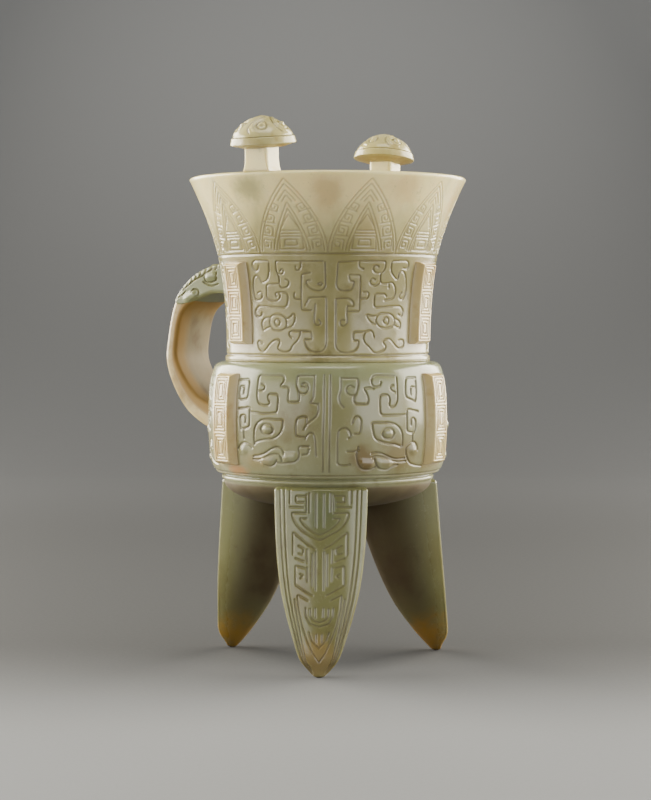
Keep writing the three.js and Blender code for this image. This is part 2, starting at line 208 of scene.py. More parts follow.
class Nodes:
    """Builds a node tree: node() takes a type, its settings, and the values or links of its sockets."""

    def __init__(self, tree):
        self.tree = tree

    def node(self, kind, settings=None, sockets=None):
        made = self.tree.nodes.new(kind)
        for key, value in (settings or {}).items():
            setattr(made, key, value)
        for key, value in (sockets or {}).items():
            value = getattr(value, "socket", value)
            if isinstance(value, bpy.types.NodeSocket):
                self.tree.links.new(value, made.inputs[key])
            else:
                made.inputs[key].default_value = value
        return made

    def value(self, kind, settings=None, sockets=None, output=0):
        return Value(self, self.node(kind, settings, sockets).outputs[output])

    def maths(self, operation, *terms):
        return self.value("ShaderNodeMath", {"operation": operation}, dict(enumerate(terms)))

    def vector(self, operation, sockets, output=0):
        return self.value("ShaderNodeVectorMath", {"operation": operation}, sockets, output)

    def shape(self, item):
        """The geometry of an object that the tree is given."""
        settings = {"transform_space": "ORIGINAL"}
        return self.value("GeometryNodeObjectInfo", settings, {"Object": item}, "Geometry")

    def step(self, value, low, high, start=0.0, end=1.0):
        """A soft step from start at low to end at high."""
        sockets = {"Value": value, "From Min": low, "From Max": high, "To Min": start, "To Max": end}
        return self.value("ShaderNodeMapRange", {"interpolation_type": "SMOOTHSTEP"}, sockets, "Result")

    def mix(self, share, first, second):
        """A mixture of two colours."""
        sockets = {"Factor": share, 6: first, 7: second}
        return self.value("ShaderNodeMix", {"data_type": "RGBA"}, sockets, 2)


print("Value and Nodes are ready")

# %% [markdown]
# Nephrite is never one colour. It is a felt of fine crystals, clouded in soft patches of cream,
# grey-green and olive, and where iron has soaked in from the outside it turns ochre and brown. The
# cup was cut from one block, so the clouds run through all its pieces without a break: every finish
# reads the same Object coordinates, in millimetres about the vessel's axis. On top of the clouds
# come the stains, each a soft ball at its own place in the block, and the marks of the carving.
# Grooves hold brown dust, fine ground lines a lighter one, and both are duller than the polish. Where a
# flange or a post meets the wall, iron has left a line of ochre. Under the bowl, on the legs' inner flanks
# and inside the strap, where the light does not reach, a dark colour is painted in as shade, and these faces
# are also made duller. A few other colours paint light as well: a glow at the rim of the neck and on the
# strap, and shade under the bowl and on the back legs.

# %% The jade finish
def hue(red, green, blue):
    return (red, green, blue, 1.0)


MILK, OCHRE, AMBER = hue(0.36, 0.34, 0.22), hue(0.27, 0.165, 0.045), hue(0.12, 0.065, 0.012)
# The second colour on the next line is the dark of a painted shade, laid under the bowl, on the legs' inner
# flanks and inside the strap.
DUST, SHADE_DARK, PALE_OCHRE = hue(0.11, 0.076, 0.027), hue(0.05, 0.03, 0.006), hue(0.52, 0.36, 0.15)
FINE_DUST = hue(0.2, 0.14, 0.055)
MARKS = ("cut", "fine", "foot", "raw")
POLISH = 0.2


def new_finish(name):
    """An empty material, its builder, and the Object coordinates that every finish reads."""
    material = bpy.data.materials.new(name)
    material.use_nodes = True
    material.node_tree.nodes.clear()
    build = Nodes(material.node_tree)
    return material, build, build.value("ShaderNodeTexCoord", output="Object")


def surface(build, height, strength, distance, sockets):
    """Ends a finish: fine bumps from a height map, under the values of the surface."""
    bump = build.value("ShaderNodeBump", {}, {"Strength": strength, "Distance": distance, "Height": height})
    shader = build.value("ShaderNodeBsdfPrincipled", {}, {"Normal": bump, **sockets})
    build.node("ShaderNodeOutputMaterial", {}, {"Surface": shader})


def jade(name, body, pale, deep, stains=(), drift=None, dust=0.6, seed=0.0, glow=0.22, depth=1.6):
    """A polished jade. stains holds (bearing, reach, height, size, colour, strength) in mm and degrees;
    drift mixes in a colour between two heights, as (colour, from, to, strength)."""
    material, build, object_place = new_finish(name)
    about_axis = {"Vector": object_place, "Location": tuple(-AXIS / MM), "Scale": (1 / MM,) * 3}
    place = build.value("ShaderNodeMapping", {}, about_axis)

    def cloud(size, detail, shift=0.0, stretch=(1, 1, 1)):
        offset, scale = (shift + seed, -shift, 2 * shift), tuple(s / size for s in stretch)
        moved = build.value("ShaderNodeMapping", {}, {"Vector": place, "Location": offset, "Scale": scale})
        sockets = {"Vector": moved, "Scale": 1.0, "Detail": detail, "Roughness": 0.55}
        return build.value("ShaderNodeTexNoise", {}, sockets)

    broad, middle = cloud(30, 2), cloud(9, 3, 3.1, (1, 1, 0.7))
    small, fleck = cloud(2.6, 4, 7.7), cloud(0.55, 2, 1.3)
    colour = build.mix(build.step(broad + (middle - 0.5) * 0.5, 0.36, 0.66), body, pale)
    colour = build.mix(build.step(middle + (small - 0.5) * 0.4, 0.5, 0.74) * 0.7, colour, deep)
    height = build.value("ShaderNodeSeparateXYZ", {}, {0: place}, "Z")
    if drift:
        tint, low, high, strength = drift
        colour = build.mix(build.step(height + (middle - 0.5) * 14, low, high) * strength, colour, tint)
    for bearing, reach, level, size, tint, strength in stains:
        c, s = cos_sin(bearing)
        away = build.vector("SUBTRACT", {0: place, 1: (reach * c, reach * s, level)})
        away = build.vector("LENGTH", {0: build.vector("DIVIDE", {0: away, 1: size})}, "Value")
        reached = 1 - build.step(away + (middle - 0.5) * 0.9 + (small - 0.5) * 0.5, 0.25, 1.0)
        colour = build.mix(reached * strength, colour, tint)
    colour = build.mix(build.step(fleck + small, 1.1, 1.35) * 0.2, colour, MILK)
    colour = build.mix(build.step(small + (fleck - 0.5) * 0.3, 0.62, 0.8) * 0.18, colour, deep)
    cut, fine, foot, raw = (
        build.value("ShaderNodeAttribute", {"attribute_name": mark}, {}, "Fac") for mark in MARKS
    )
    # Painted shade: a dark colour under the bowl, on the legs' inner flanks and inside the strap; the same
    # mark also makes these faces duller below.
    colour = build.mix(raw * (0.7 + middle * 0.4), colour, SHADE_DARK)
    colour = build.mix(fine * 0.55, colour, FINE_DUST)
    # Ochre where flanges and posts meet the wall and under the caps; on the strap's inner face the same mark
    # is a painted glow.
    colour = build.mix(foot * (0.35 + middle * 0.5), colour, OCHRE)
    colour = build.mix(build.step(cut, 0.05, 0.7) * (0.25 + small) * dust, colour, DUST)
    dull = POLISH + (middle - 0.5) * 0.12 + (small - 0.5) * 0.1 + (cut + fine).over(foot) * 0.16 + raw * 0.62
    surface(build, middle * 0.05 + small * 0.03 + fleck * 0.008, 0.35, MM, {
        "Base Color": colour, "Roughness": dull, "IOR": 1.55, "Subsurface Weight": glow,
        "Subsurface Radius": (1.0, 0.85, 0.5), "Subsurface Scale": depth * MM,
    })
    return material


cream_jade = jade(
    "cream_jade", hue(0.236, 0.209, 0.08), hue(0.33, 0.3, 0.148), hue(0.168, 0.136, 0.042),
    stains=[
        (-61, 44, 152, (7, 7, 10), PALE_OCHRE, 0.6), (-27, 42, 155, (9, 9, 8), PALE_OCHRE, 0.5),
        (14, 43, 150, (8, 8, 14), PALE_OCHRE, 0.5), (-95, 44, 155, (9, 9, 7), hue(0.144, 0.139, 0.0538), 0.6),
        (-40, 38, 143, (6, 6, 8), OCHRE, 0.3), (100, 42, 150, (12, 12, 10), OCHRE, 0.5),
        (185, 40, 140, (14, 14, 12), OCHRE, 0.4), (-118, 36, 106, (7, 7, 5), OCHRE, 0.5),
        (3, 36, 106, (7, 7, 6), OCHRE, 0.5), (120, 36, 112, (9, 9, 12), OCHRE, 0.4),
    ],
    # The drift paints the flare paler and warmer towards the rim: a painted glow of light through the thin
    # stone.
    drift=(hue(0.88, 0.77, 0.38), 132, 156, 0.85), glow=0.4, depth=4.0, dust=0.62,
)
celadon_jade = jade(
    "celadon_jade", hue(0.218, 0.209, 0.1), hue(0.285, 0.29, 0.165), hue(0.158, 0.128, 0.044),
    stains=[
        (-110, 40, 64.5, (7, 7, 2.6), hue(0.42, 0.215, 0.085), 0.85),
        (-43, 40, 69, (6.5, 6.5, 6), AMBER, 0.7),
        (-24, 41, 70, (11, 11, 8), AMBER, 0.5), (-96, 41, 68, (9, 9, 4.5), OCHRE, 0.35),
        (-118, 42, 82, (7, 7, 18), OCHRE, 0.4), (4, 42, 74, (8, 8, 10), OCHRE, 0.5),
        (118, 42, 72, (14, 14, 8), OCHRE, 0.5), (200, 42, 84, (16, 16, 8), OCHRE, 0.4),
        # A dark ball under the middle of the bowl: painted shade.
        (-60, 0, 50, (30, 30, 10), hue(0.156, 0.118, 0.0422), 0.6),
    ],
    drift=(hue(0.22, 0.25, 0.135), 84, 99, 0.6), seed=4.0, dust=0.6,
)
olive_jade = jade(
    "olive_jade", hue(0.142, 0.132, 0.047), hue(0.185, 0.184, 0.078), hue(0.106, 0.0865, 0.0255),
    stains=[
        (-72, 42, 27, (5, 5, 12), hue(0.132, 0.0884, 0.0274), 0.5),
        (-64, 38, 52, (9, 9, 9), hue(0.124, 0.142, 0.0706), 0.7),
        (-64, 42, 6, (9, 9, 10), hue(0.27, 0.19, 0.07), 0.7),
        (172, 38, 6, (12, 12, 17), hue(0.32, 0.175, 0.02), 0.85),
        (55, 38, 6, (12, 12, 17), hue(0.32, 0.165, 0.018), 0.85),
        # Two dark balls on the back legs' flanks that face the middle: painted shade, where the bowl and the
        # front leg keep the light off.
        (164, 30, 30, (10, 10, 16), hue(0.0792, 0.0583, 0.0137), 0.7),
        (64, 26, 34, (10, 10, 16), hue(0.0739, 0.0558, 0.0157), 0.7),
    ],
    drift=(hue(0.132, 0.142, 0.0627), 30, 56, 0.5), seed=9.0, dust=0.5,
)
russet_jade = jade(
    "russet_jade", hue(0.56, 0.425, 0.18), hue(0.63, 0.53, 0.27), hue(0.44, 0.26, 0.075),
    stains=[
        (192, 50, 104, (12, 9, 26), hue(0.2, 0.105, 0.01), 0.8),
        (180, 60, 112, (7, 14, 12), hue(0.36, 0.193, 0.0785), 0.6),
        (180, 52, 84, (12, 14, 8), hue(0.258, 0.228, 0.102), 0.5),
    ],
    seed=2.0, dust=0.5,
)
cap_jade = jade(
    "cap_jade", hue(0.45, 0.4, 0.165), hue(0.56, 0.51, 0.27), hue(0.32, 0.245, 0.065),
    drift=(OCHRE, 169.0, 165.5, 0.3), seed=6.0, dust=0.6,
)
print("Finishes:", [item.name for item in (cream_jade, celadon_jade, olive_jade, russet_jade, cap_jade)])

# %% [markdown]
# The sweep is a matt grey paper whose colour holds a painted fall of light: light in front, dark behind the
# cup, and lighter again further back and higher up the wall. The fade follows the distance along the camera's
# line over the floor and then the height up the wall, and a fine grain keeps it from looking like a screen.

# %% Paper
FADE_FROM, FADE_TO, WALL_FROM, WALL_TO, WALL_HIGH = -0.04, 0.15, -0.35, -1.1, 0.45


def painted_falloff_paper(name, near, far, wall, high):
    """Paper that goes from near to far over the floor, and from wall to high up the back."""
    material, build, object_place = new_finish(name)
    from_axis = build.vector("SUBTRACT", {0: object_place, 1: tuple(AXIS)})
    ahead = build.vector("DOT_PRODUCT", {0: from_axis, 1: tuple(view_back)}, "Value")
    height = build.value("ShaderNodeSeparateXYZ", {}, {0: object_place}, "Z")
    wall = build.mix(build.step(height, 0.0, WALL_HIGH), wall, high)
    colour = build.mix(build.step(ahead, FADE_FROM, FADE_TO), far, near)
    colour = build.mix(build.step(ahead, WALL_FROM, WALL_TO), colour, wall)
    grain = build.value("ShaderNodeTexNoise", {}, {"Vector": object_place, "Scale": 700.0, "Detail": 2.0})
    surface(build, grain, 0.1, 0.2 * MM, {"Base Color": colour, "Roughness": 0.62 + grain * 0.1})
    return material


floor.data.materials.append(painted_falloff_paper(
    "painted_falloff_paper", near=hue(0.162, 0.169, 0.179), far=hue(0.0205, 0.0219, 0.0242),
    wall=hue(0.069, 0.0722, 0.078), high=hue(0.215, 0.224, 0.238),
))
print("Paper fades over", round((FADE_TO - FADE_FROM) / MM), "mm")

# %% [markdown]
# The stone's shapes follow a few smooth lines. These helpers give the same two kinds of line that
# the CAD model uses, so each carved skin lies on its solid to a hair: a spline through points,
# and a Bezier arc held by four points.

# %% Lines and profiles
def spline(points, count=240):
    """A smooth line through the points, in even steps of its parameter."""
    points = np.array(points, float)
    last = len(points) - 1
    place = np.linspace(0, last, count)
    step = np.minimum(place.astype(int), last - 1)
    t = (place - step)[:, None]
    p0, p1 = points[np.maximum(step - 1, 0)], points[step]
    p2, p3 = points[step + 1], points[np.minimum(step + 2, last)]
    v0, v1 = (p2 - p0) / 2, (p3 - p1) / 2
    return (2 * p1 - 2 * p2 + v0 + v1) * t**3 + (3 * p2 - 3 * p1 - 2 * v0 - v1) * t**2 + v0 * t + p1


def bezier(a, b, c, d, count=240):
    """A cubic Bezier arc from a to d."""
    t = np.linspace(0, 1, count)[:, None]
    a, b, c, d = (np.array(point, float) for point in (a, b, c, d))
    return (1 - t) ** 3 * a + 3 * t * (1 - t) ** 2 * b + 3 * t * t * (1 - t) * c + t**3 * d


def lerp(a, b, share):
    return a + (b - a) * share


def ramp(t):
    """A soft step from 0 to 1."""
    t = np.clip(t, 0, 1)
    return t * t * (3 - 2 * t)


LEG_HEIGHT, MOULDING_TOP, SHOULDER, RIM = 59.8, 62.0, 99.4, 159.8
MOULDING_RADIUS, BELLY_FOOT, BELLY_RADIUS, BELLY_HEIGHT = 35.3, 34.6, 39.8, 37.4
NECK_RADIUS, BAND_RADIUS, RIM_RADIUS, LIP, WALL = 33.6, 34.0, 45.9, 3.0, 4.2
NECK_FOOT, EDGE = SHOULDER + 2.1, 0.45

neck_line = bezier(
    (NECK_RADIUS, NECK_FOOT),
    (NECK_RADIUS, lerp(NECK_FOOT, RIM, 0.44)),
    (lerp(NECK_RADIUS, RIM_RADIUS, 0.23), lerp(NECK_FOOT, RIM, 0.66)),
    (RIM_RADIUS, RIM - EDGE),
)
belly_line = spline([
    (BELLY_FOOT, MOULDING_TOP),
    (lerp(BELLY_FOOT, BELLY_RADIUS, 0.5), MOULDING_TOP + 0.03 * BELLY_HEIGHT),
    (lerp(BELLY_FOOT, BELLY_RADIUS, 0.82), MOULDING_TOP + 0.13 * BELLY_HEIGHT),
    (BELLY_RADIUS - 0.25, MOULDING_TOP + 0.3 * BELLY_HEIGHT),
    (BELLY_RADIUS, MOULDING_TOP + 0.5 * BELLY_HEIGHT),
    (BELLY_RADIUS - 0.45, MOULDING_TOP + 0.75 * BELLY_HEIGHT),
    (BELLY_RADIUS - 1.5, MOULDING_TOP + 0.9 * BELLY_HEIGHT),
    (lerp(BAND_RADIUS, BELLY_RADIUS, 0.5), MOULDING_TOP + 0.975 * BELLY_HEIGHT),
    (BAND_RADIUS, SHOULDER),
])


def reach_at(line, z):
    """How far a line of (reach, height) points stands off at a height."""
    return np.interp(z, line[:, 1], line[:, 0])


def neck_radius(z):
    return reach_at(neck_line, z)


def belly_radius(z):
    return reach_at(belly_line, z)


print("Rim radius", neck_line[-1][0], "mm; widest belly", round(belly_line[:, 0].max(), 2), "mm")

# %% [markdown]
# Every ornament starts as strokes, as a carver first draws them on the stone. A stroke is a list of
# points in millimetres: how far along the wall, and how high. It is laid on the curved wall as a
# chain of short edges, and the corners are eased a little, because a hand-held tool rounds them.
# The long drawings are written as plain text, so that they stay easy to follow by eye.

# %% Strokes laid on the stone
def ease(stroke, pitch=0.3, reach=2):
    """Evenly spaced points along a stroke, with its corners rounded."""
    stroke = np.array(stroke, float)
    runs = np.hypot(*np.diff(stroke, axis=0).T)
    along = np.concatenate([[0], np.cumsum(runs)])
    count = max(3, int(round(along[-1] / pitch)) + 1)
    fine = np.linspace(0, along[-1], count)
    points = np.column_stack([np.interp(fine, along, stroke[:, k]) for k in (0, 1)])
    smooth = points.copy()
    for shift in range(-reach, reach + 1):
        if shift:
            index = np.clip(np.arange(count) + shift, 0, count - 1)
            smooth += points[index]
    smooth /= 2 * reach + 1
    smooth[0], smooth[-1] = points[0], points[-1]
    return smooth


def drawing(text):
    """Strokes written as text: points as across,up in mm, and a semicolon after each stroke."""
    return [
        [tuple(float(number) for number in point.split(",")) for point in stroke.split()]
        for stroke in text.split(";") if stroke.strip()
    ]


def on_wall(radius, bearing, measure):
    """Lays (distance along the wall, height) on a turned wall; distances are taken at one radius."""
    def lay(points):
        angle = math.radians(bearing) + points[:, 0] / measure
        reach = radius(points[:, 1])
        return np.column_stack([reach * np.cos(angle), reach * np.sin(angle), points[:, 1]])
    return lay


board = bpy.data.collections.new("drawing_board")
bpy.context.scene.collection.children.link(board)


def drawn(name, verts, edges):
    """A mesh of bare edges, kept on the drawing board."""
    mesh = bpy.data.meshes.new(name)
    mesh.from_pydata(verts, edges, [])
    item = bpy.data.objects.new(name, mesh)
    board.objects.link(item)
    return item


def stroke_object(name, strokes, lay, pitch=0.3, reach=2):
    """One object whose edges are the strokes, laid on the stone in the row frame."""
    verts, edges = [], []
    for stroke in strokes:
        points = lay(ease(stroke, pitch, reach)) * MM + AXIS
        start = len(verts)
        verts.extend(points.tolist())
        edges.extend((start + k, start + k + 1) for k in range(len(points) - 1))
    return drawn(name, verts, edges)


def joined(name, items):
    """Several stroke objects made one."""
    verts, edges = [], []
    for item in items:
        start = len(verts)
        verts.extend(tuple(v.co) for v in item.data.vertices)
        edges.extend((start + e.vertices[0], start + e.vertices[1]) for e in item.data.edges)
        bpy.data.objects.remove(item)
    return drawn(name, verts, edges)


def mirrored(strokes, middle=0.0):
    """The strokes seen in a mirror that stands at the middle."""
    return [[(2 * middle - x, y) for x, y in stroke] for stroke in strokes]


print("A stroke of 10 mm becomes", len(ease([(0, 0), (10, 0)])), "points")

# %% [markdown]
# Geometry Nodes do the cutting. The tree named Carve measures, for every point of a skin, how far
# the nearest stroke is. Points within half a line's width move inwards, most of all in the middle,
# which leaves a rounded groove. A negative depth raises a swelling instead. The tree also marks
# how deep each point was cut, and the material uses that mark to settle brown into the grooves.

# %% The Carve tree
def new_tree(name, inputs):
    """A Geometry Nodes tree with named inputs, given as (name, socket type, default)."""
    tree = bpy.data.node_groups.new(name, "GeometryNodeTree")
    tree.interface.new_socket("Geometry", in_out="INPUT", socket_type="NodeSocketGeometry")
    for label, kind, value in inputs:
        socket = tree.interface.new_socket(label, in_out="INPUT", socket_type=kind)
        if value is not None:
            socket.default_value = value
    tree.interface.new_socket("Geometry", in_out="OUTPUT", socket_type="NodeSocketGeometry")
    build = Nodes(tree)
    return tree, build, build.node("NodeGroupInput").outputs


def end_tree(build, geometry, material):
    """Ends a tree in real geometry that wears its material."""
    real = build.value("GeometryNodeRealizeInstances", {}, {"Geometry": geometry})
    dressed = build.value("GeometryNodeSetMaterial", {}, {"Geometry": real, "Material": material})
    build.node("NodeGroupOutput", {}, {0: dressed})


FLOAT, INTEGER, OBJECT = "NodeSocketFloat", "NodeSocketInt", "NodeSocketObject"
carve_tree, build, given = new_tree("Carve", [
    ("Strokes", OBJECT, None),
    ("Half Width", FLOAT, 0.0004),
    ("Depth", FLOAT, 0.0003),
    ("Mark", "NodeSocketString", "cut"),
    ("Stone", "NodeSocketMaterial", None),
])
strokes = build.shape(given["Strokes"])
near = build.value("GeometryNodeProximity", {"target_element": "EDGES"}, {0: strokes}, "Distance")
depth = build.step(near, 0.0, given["Half Width"], 1.0, 0.0)
inwards = depth * given["Depth"] * -1.0
shift = build.vector("SCALE", {0: build.value("GeometryNodeInputNormal"), "Scale": inwards})
before = build.value("GeometryNodeInputNamedAttribute", {"data_type": "FLOAT"}, {"Name": given["Mark"]})
marked = build.value(
    "GeometryNodeStoreNamedAttribute",
    {"data_type": "FLOAT", "domain": "POINT"},
    {"Geometry": given["Geometry"], "Name": given["Mark"], "Value": before.over(depth)},
)
moved = build.value("GeometryNodeSetPosition", {}, {"Geometry": marked, "Offset": shift})
end_tree(build, moved, given["Stone"])


def add_tree(item, tree, **values):
    """Adds the tree to a piece as a modifier; each input is set by its socket's identifier."""
    modifier = item.modifiers.new(tree.name, "NODES")
    modifier.node_group = tree
    sockets = {s.name: s.identifier for s in tree.interface.items_tree if s.in_out == "INPUT"}
    for label, value in values.items():
        modifier[sockets[label.replace("_", " ")]] = value


def carve(item, strokes, width, depth, stone, mark="cut"):
    """Adds one set of cuts to a piece, in mm; a negative depth raises the stone instead."""
    add_tree(
        item, carve_tree, Strokes=strokes, Half_Width=width / 2 * MM, Depth=depth * MM, Mark=mark, Stone=stone
    )


def settle(item):
    """Turns what the modifiers made into a plain mesh and removes them."""
    graph = bpy.context.evaluated_depsgraph_get()
    mesh = bpy.data.meshes.new_from_object(item.evaluated_get(graph))
    item.modifiers.clear()
    item.data = mesh
    return item


print("Carve has", len(carve_tree.nodes), "nodes")

# %% [markdown]
# The neck and the belly are turned shapes: one outline carried round the axis. The tree named
# Turned wall does that on a grid: one direction of the grid runs round the axis, and the other
# picks points of the outline. A whole wall at the fineness of the carving is too heavy for one
# mesh, so each wall is made as three staves whose joints hide behind the upright flanges.

# %% The Turned wall tree
turned_tree, build, given = new_tree("Turned wall", [
    ("Outline", OBJECT, None),
    ("Columns", INTEGER, 64),
    ("From", FLOAT, 0.0),
    ("Sweep", FLOAT, 2.0),
    ("Stone", "NodeSocketMaterial", None),
])
outline = build.shape(given["Outline"])
size = build.value("GeometryNodeAttributeDomainSize", {"component": "MESH"}, {0: outline}, "Point Count")
sides = {"Size X": 1.0, "Size Y": 1.0, "Vertices X": given["Columns"], "Vertices Y": size}
grid = build.value("GeometryNodeMeshGrid", {}, sides)
position = build.value("GeometryNodeInputPosition")
share, level = (build.value("ShaderNodeSeparateXYZ", {}, {0: position}, axis) + 0.5 for axis in "XY")
turn = build.maths("MULTIPLY_ADD", share, given["Sweep"], given["From"])
row = build.maths("ROUND", level * (size - 1.0))
picked = build.value(
    "GeometryNodeSampleIndex",
    {"data_type": "FLOAT_VECTOR", "domain": "POINT"},
    {"Geometry": outline, "Value": position, "Index": row},
)
turned = build.value("ShaderNodeVectorRotate", {"rotation_type": "Z_AXIS"}, {"Vector": picked, "Angle": turn})
wall = build.value("GeometryNodeSetPosition", {}, {"Geometry": grid, "Position": turned})
closed = build.value("GeometryNodeMergeByDistance", {}, {"Geometry": wall, "Distance": 1e-6})
smooth = build.value("GeometryNodeSetShadeSmooth", {}, {0: closed})
centred = build.value("GeometryNodeTransform", {}, {"Geometry": smooth, "Translation": tuple(AXIS)})
end_tree(build, centred, given["Stone"])


def outline_object(name, outline):
    """An outline of (radius, height) in millimetres as a chain of points, closed on itself."""
    loop = np.array(list(outline) + [outline[0]], float) * MM
    return drawn(name, [(r, 0, z) for r, z in loop], [(k, k + 1) for k in range(len(loop) - 1)])


def stave(name, outline, first, last, columns, stone):
    """A piece of a turned wall between two bearings, in degrees."""
    item = bpy.data.objects.new(name, bpy.data.meshes.new(name))
    bpy.context.scene.collection.objects.link(item)
    add_tree(
        item, turned_tree, Outline=outline, Columns=columns,
        From=math.radians(first), Sweep=math.radians(last - first), Stone=stone,
    )
    return item


def close_ends(item):
    """Closes the two cut ends of a stave with flat faces that keep their own normals."""
    mesh = bmesh.new()
    mesh.from_mesh(item.data)
    rim = [edge for edge in mesh.edges if edge.is_boundary]
    for edge in rim:
        edge.smooth = False
    for face in bmesh.ops.holes_fill(mesh, edges=rim, sides=0)["faces"]:
        face.smooth = False
    mesh.to_mesh(item.data)
    mesh.free()


def points_of(item):
    """Every point of a piece, in millimetres about the axis."""
    flat = np.empty(len(item.data.vertices) * 3)
    item.data.vertices.foreach_get("co", flat)
    return (flat.reshape(-1, 3) - AXIS) / MM


def tint(item, label, amount):
    """Stores how strongly a mark or a stain lies on each point of a piece."""
    layer = item.data.attributes.get(label) or item.data.attributes.new(label, "FLOAT", "POINT")
    layer.data.foreach_set("value", np.asarray(amount, np.float32))


def dress(item, node):
    """Lets a finished piece stand for its CAD node."""
    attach(item, "root")
    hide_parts(node)
    mesh = item.data
    mesh.calc_loop_triangles()
    print(f"{item.name}: {len(mesh.loop_triangles)} triangles")


print("Turned wall has", len(turned_tree.nodes), "nodes")

# %% [markdown]
# Three flanges divide each wall into panels, and each panel holds half of a beast's face left and
# right of its middle. The carver drew by eye, so the two halves are not a perfect mirror image.
# The strokes of the neck panel are written down as they run, from the middle outwards.

# %% Strokes of the neck panel
PANEL_BEARINGS = (-57.5, 60.2, 182.3)
NECK_MEASURE, NECK_MIDDLE = 34.0, 1.45

neck_right = drawing("""
3.2,131.3 9.9,131.7 18.3,131.7 18.5,130 17.8,128.3 16.9,127.9 15.3,127.9 14.4,128.3 14.1,129.3 14.4,130.2
 15.3,130.4 16,129.9;
9.5,131.5 9.5,130 10,129.4 11,129.2;
16.9,127.9 16.9,125.6 17.3,124.6 20,124.6 21,125.1 22.3,124.4 23.1,122.7 23.1,121 22.5,120 21,119.5
 18.9,119.3;
20.2,124.6 20.3,123.2;
15.1,125.8 14.1,126.3 13.2,125.4 13.5,124.4 14.9,123.8 16.3,124.3 16.9,125.2;
19.5,120.5 19,121.3 15.6,121.3 15.2,121 15.1,117.3 15.8,116.9 20.3,117.2 25.3,117.4 26.6,116.7 27.1,115.7
 26.6,114.3 25.6,114.2 24.8,114.8;
25.4,129.6 27,129.3 27.8,130 27.7,131.2 26.6,132 20.6,131.7 20.5,129.3 21.1,127.7 23,126 23.8,126 23.8,127.7
 24.3,128.5 25.5,128.7 26.6,127.7 27.3,126 27.8,123.3 27.8,121.7 27.1,120 25.8,119.5 24.6,120.3 25,121.3
 25.8,121.8;
15.9,112.7 16.3,114.3 17.6,115.1 21,115 22.6,114.3 23.4,113 23.3,111.7 22.3,110.7 19.6,110.3 17.6,110.6
 16.3,111.7 15.9,112.7;
16.1,114.2 14,114.3 12.6,114.8 13.1,113.3 14.3,112 15.9,111.7;
23.4,113.3 25.3,112.7 26,111.8 26,110.7 25.5,110.2 24.3,110.8 23.3,111.2;
6.8,127.3 10.1,127.2 10.2,122.7 10.1,115.8 6.6,115.7;
10.1,119.8 12.8,119.8 13.3,121 12.8,122 11.3,121.8;
3,131 2.8,127 2.6,124 3.2,122.7 4.5,122.2 7,122.4 7.8,123.3 8.3,125.3 6.8,125.3 6.5,127.2;
2.5,119.7 6.5,119.9 7.6,119.2 8.2,118.2 8.3,117.4 6.5,117.4;
2.5,119.7 2.5,115 2.5,110.5 2.5,105 2.7,104 3.8,102.9 6,102.5 8.5,103 9.8,104.5 10.1,106.4 8.2,106.4
 8.2,109.2 12.3,109.2 13.6,109.7 14.8,109.3 15.4,107.5;
6.2,117.6 6,115.2 6.3,112.5 5.6,111.2 4.4,111 3.7,112 4.2,113.2 5.2,112.9;
12.2,109 11.5,107.3 12,105.7 14,104 15,102.7 16.3,102.3 19,103.2 20,104 19.8,104.8 18.6,105.8 19.3,106.7
 21,107 22.3,106.3 24.3,104.3 25.6,103.7 27.3,104.3 28,105.3 27.6,106.3 26.3,106.7 25.3,106.3;
18.7,112.7 19.1,113.6 19.8,113.9 20.6,113.6 21,112.7 20.6,111.8 19.8,111.5 19.1,111.8 18.7,112.7;
""")
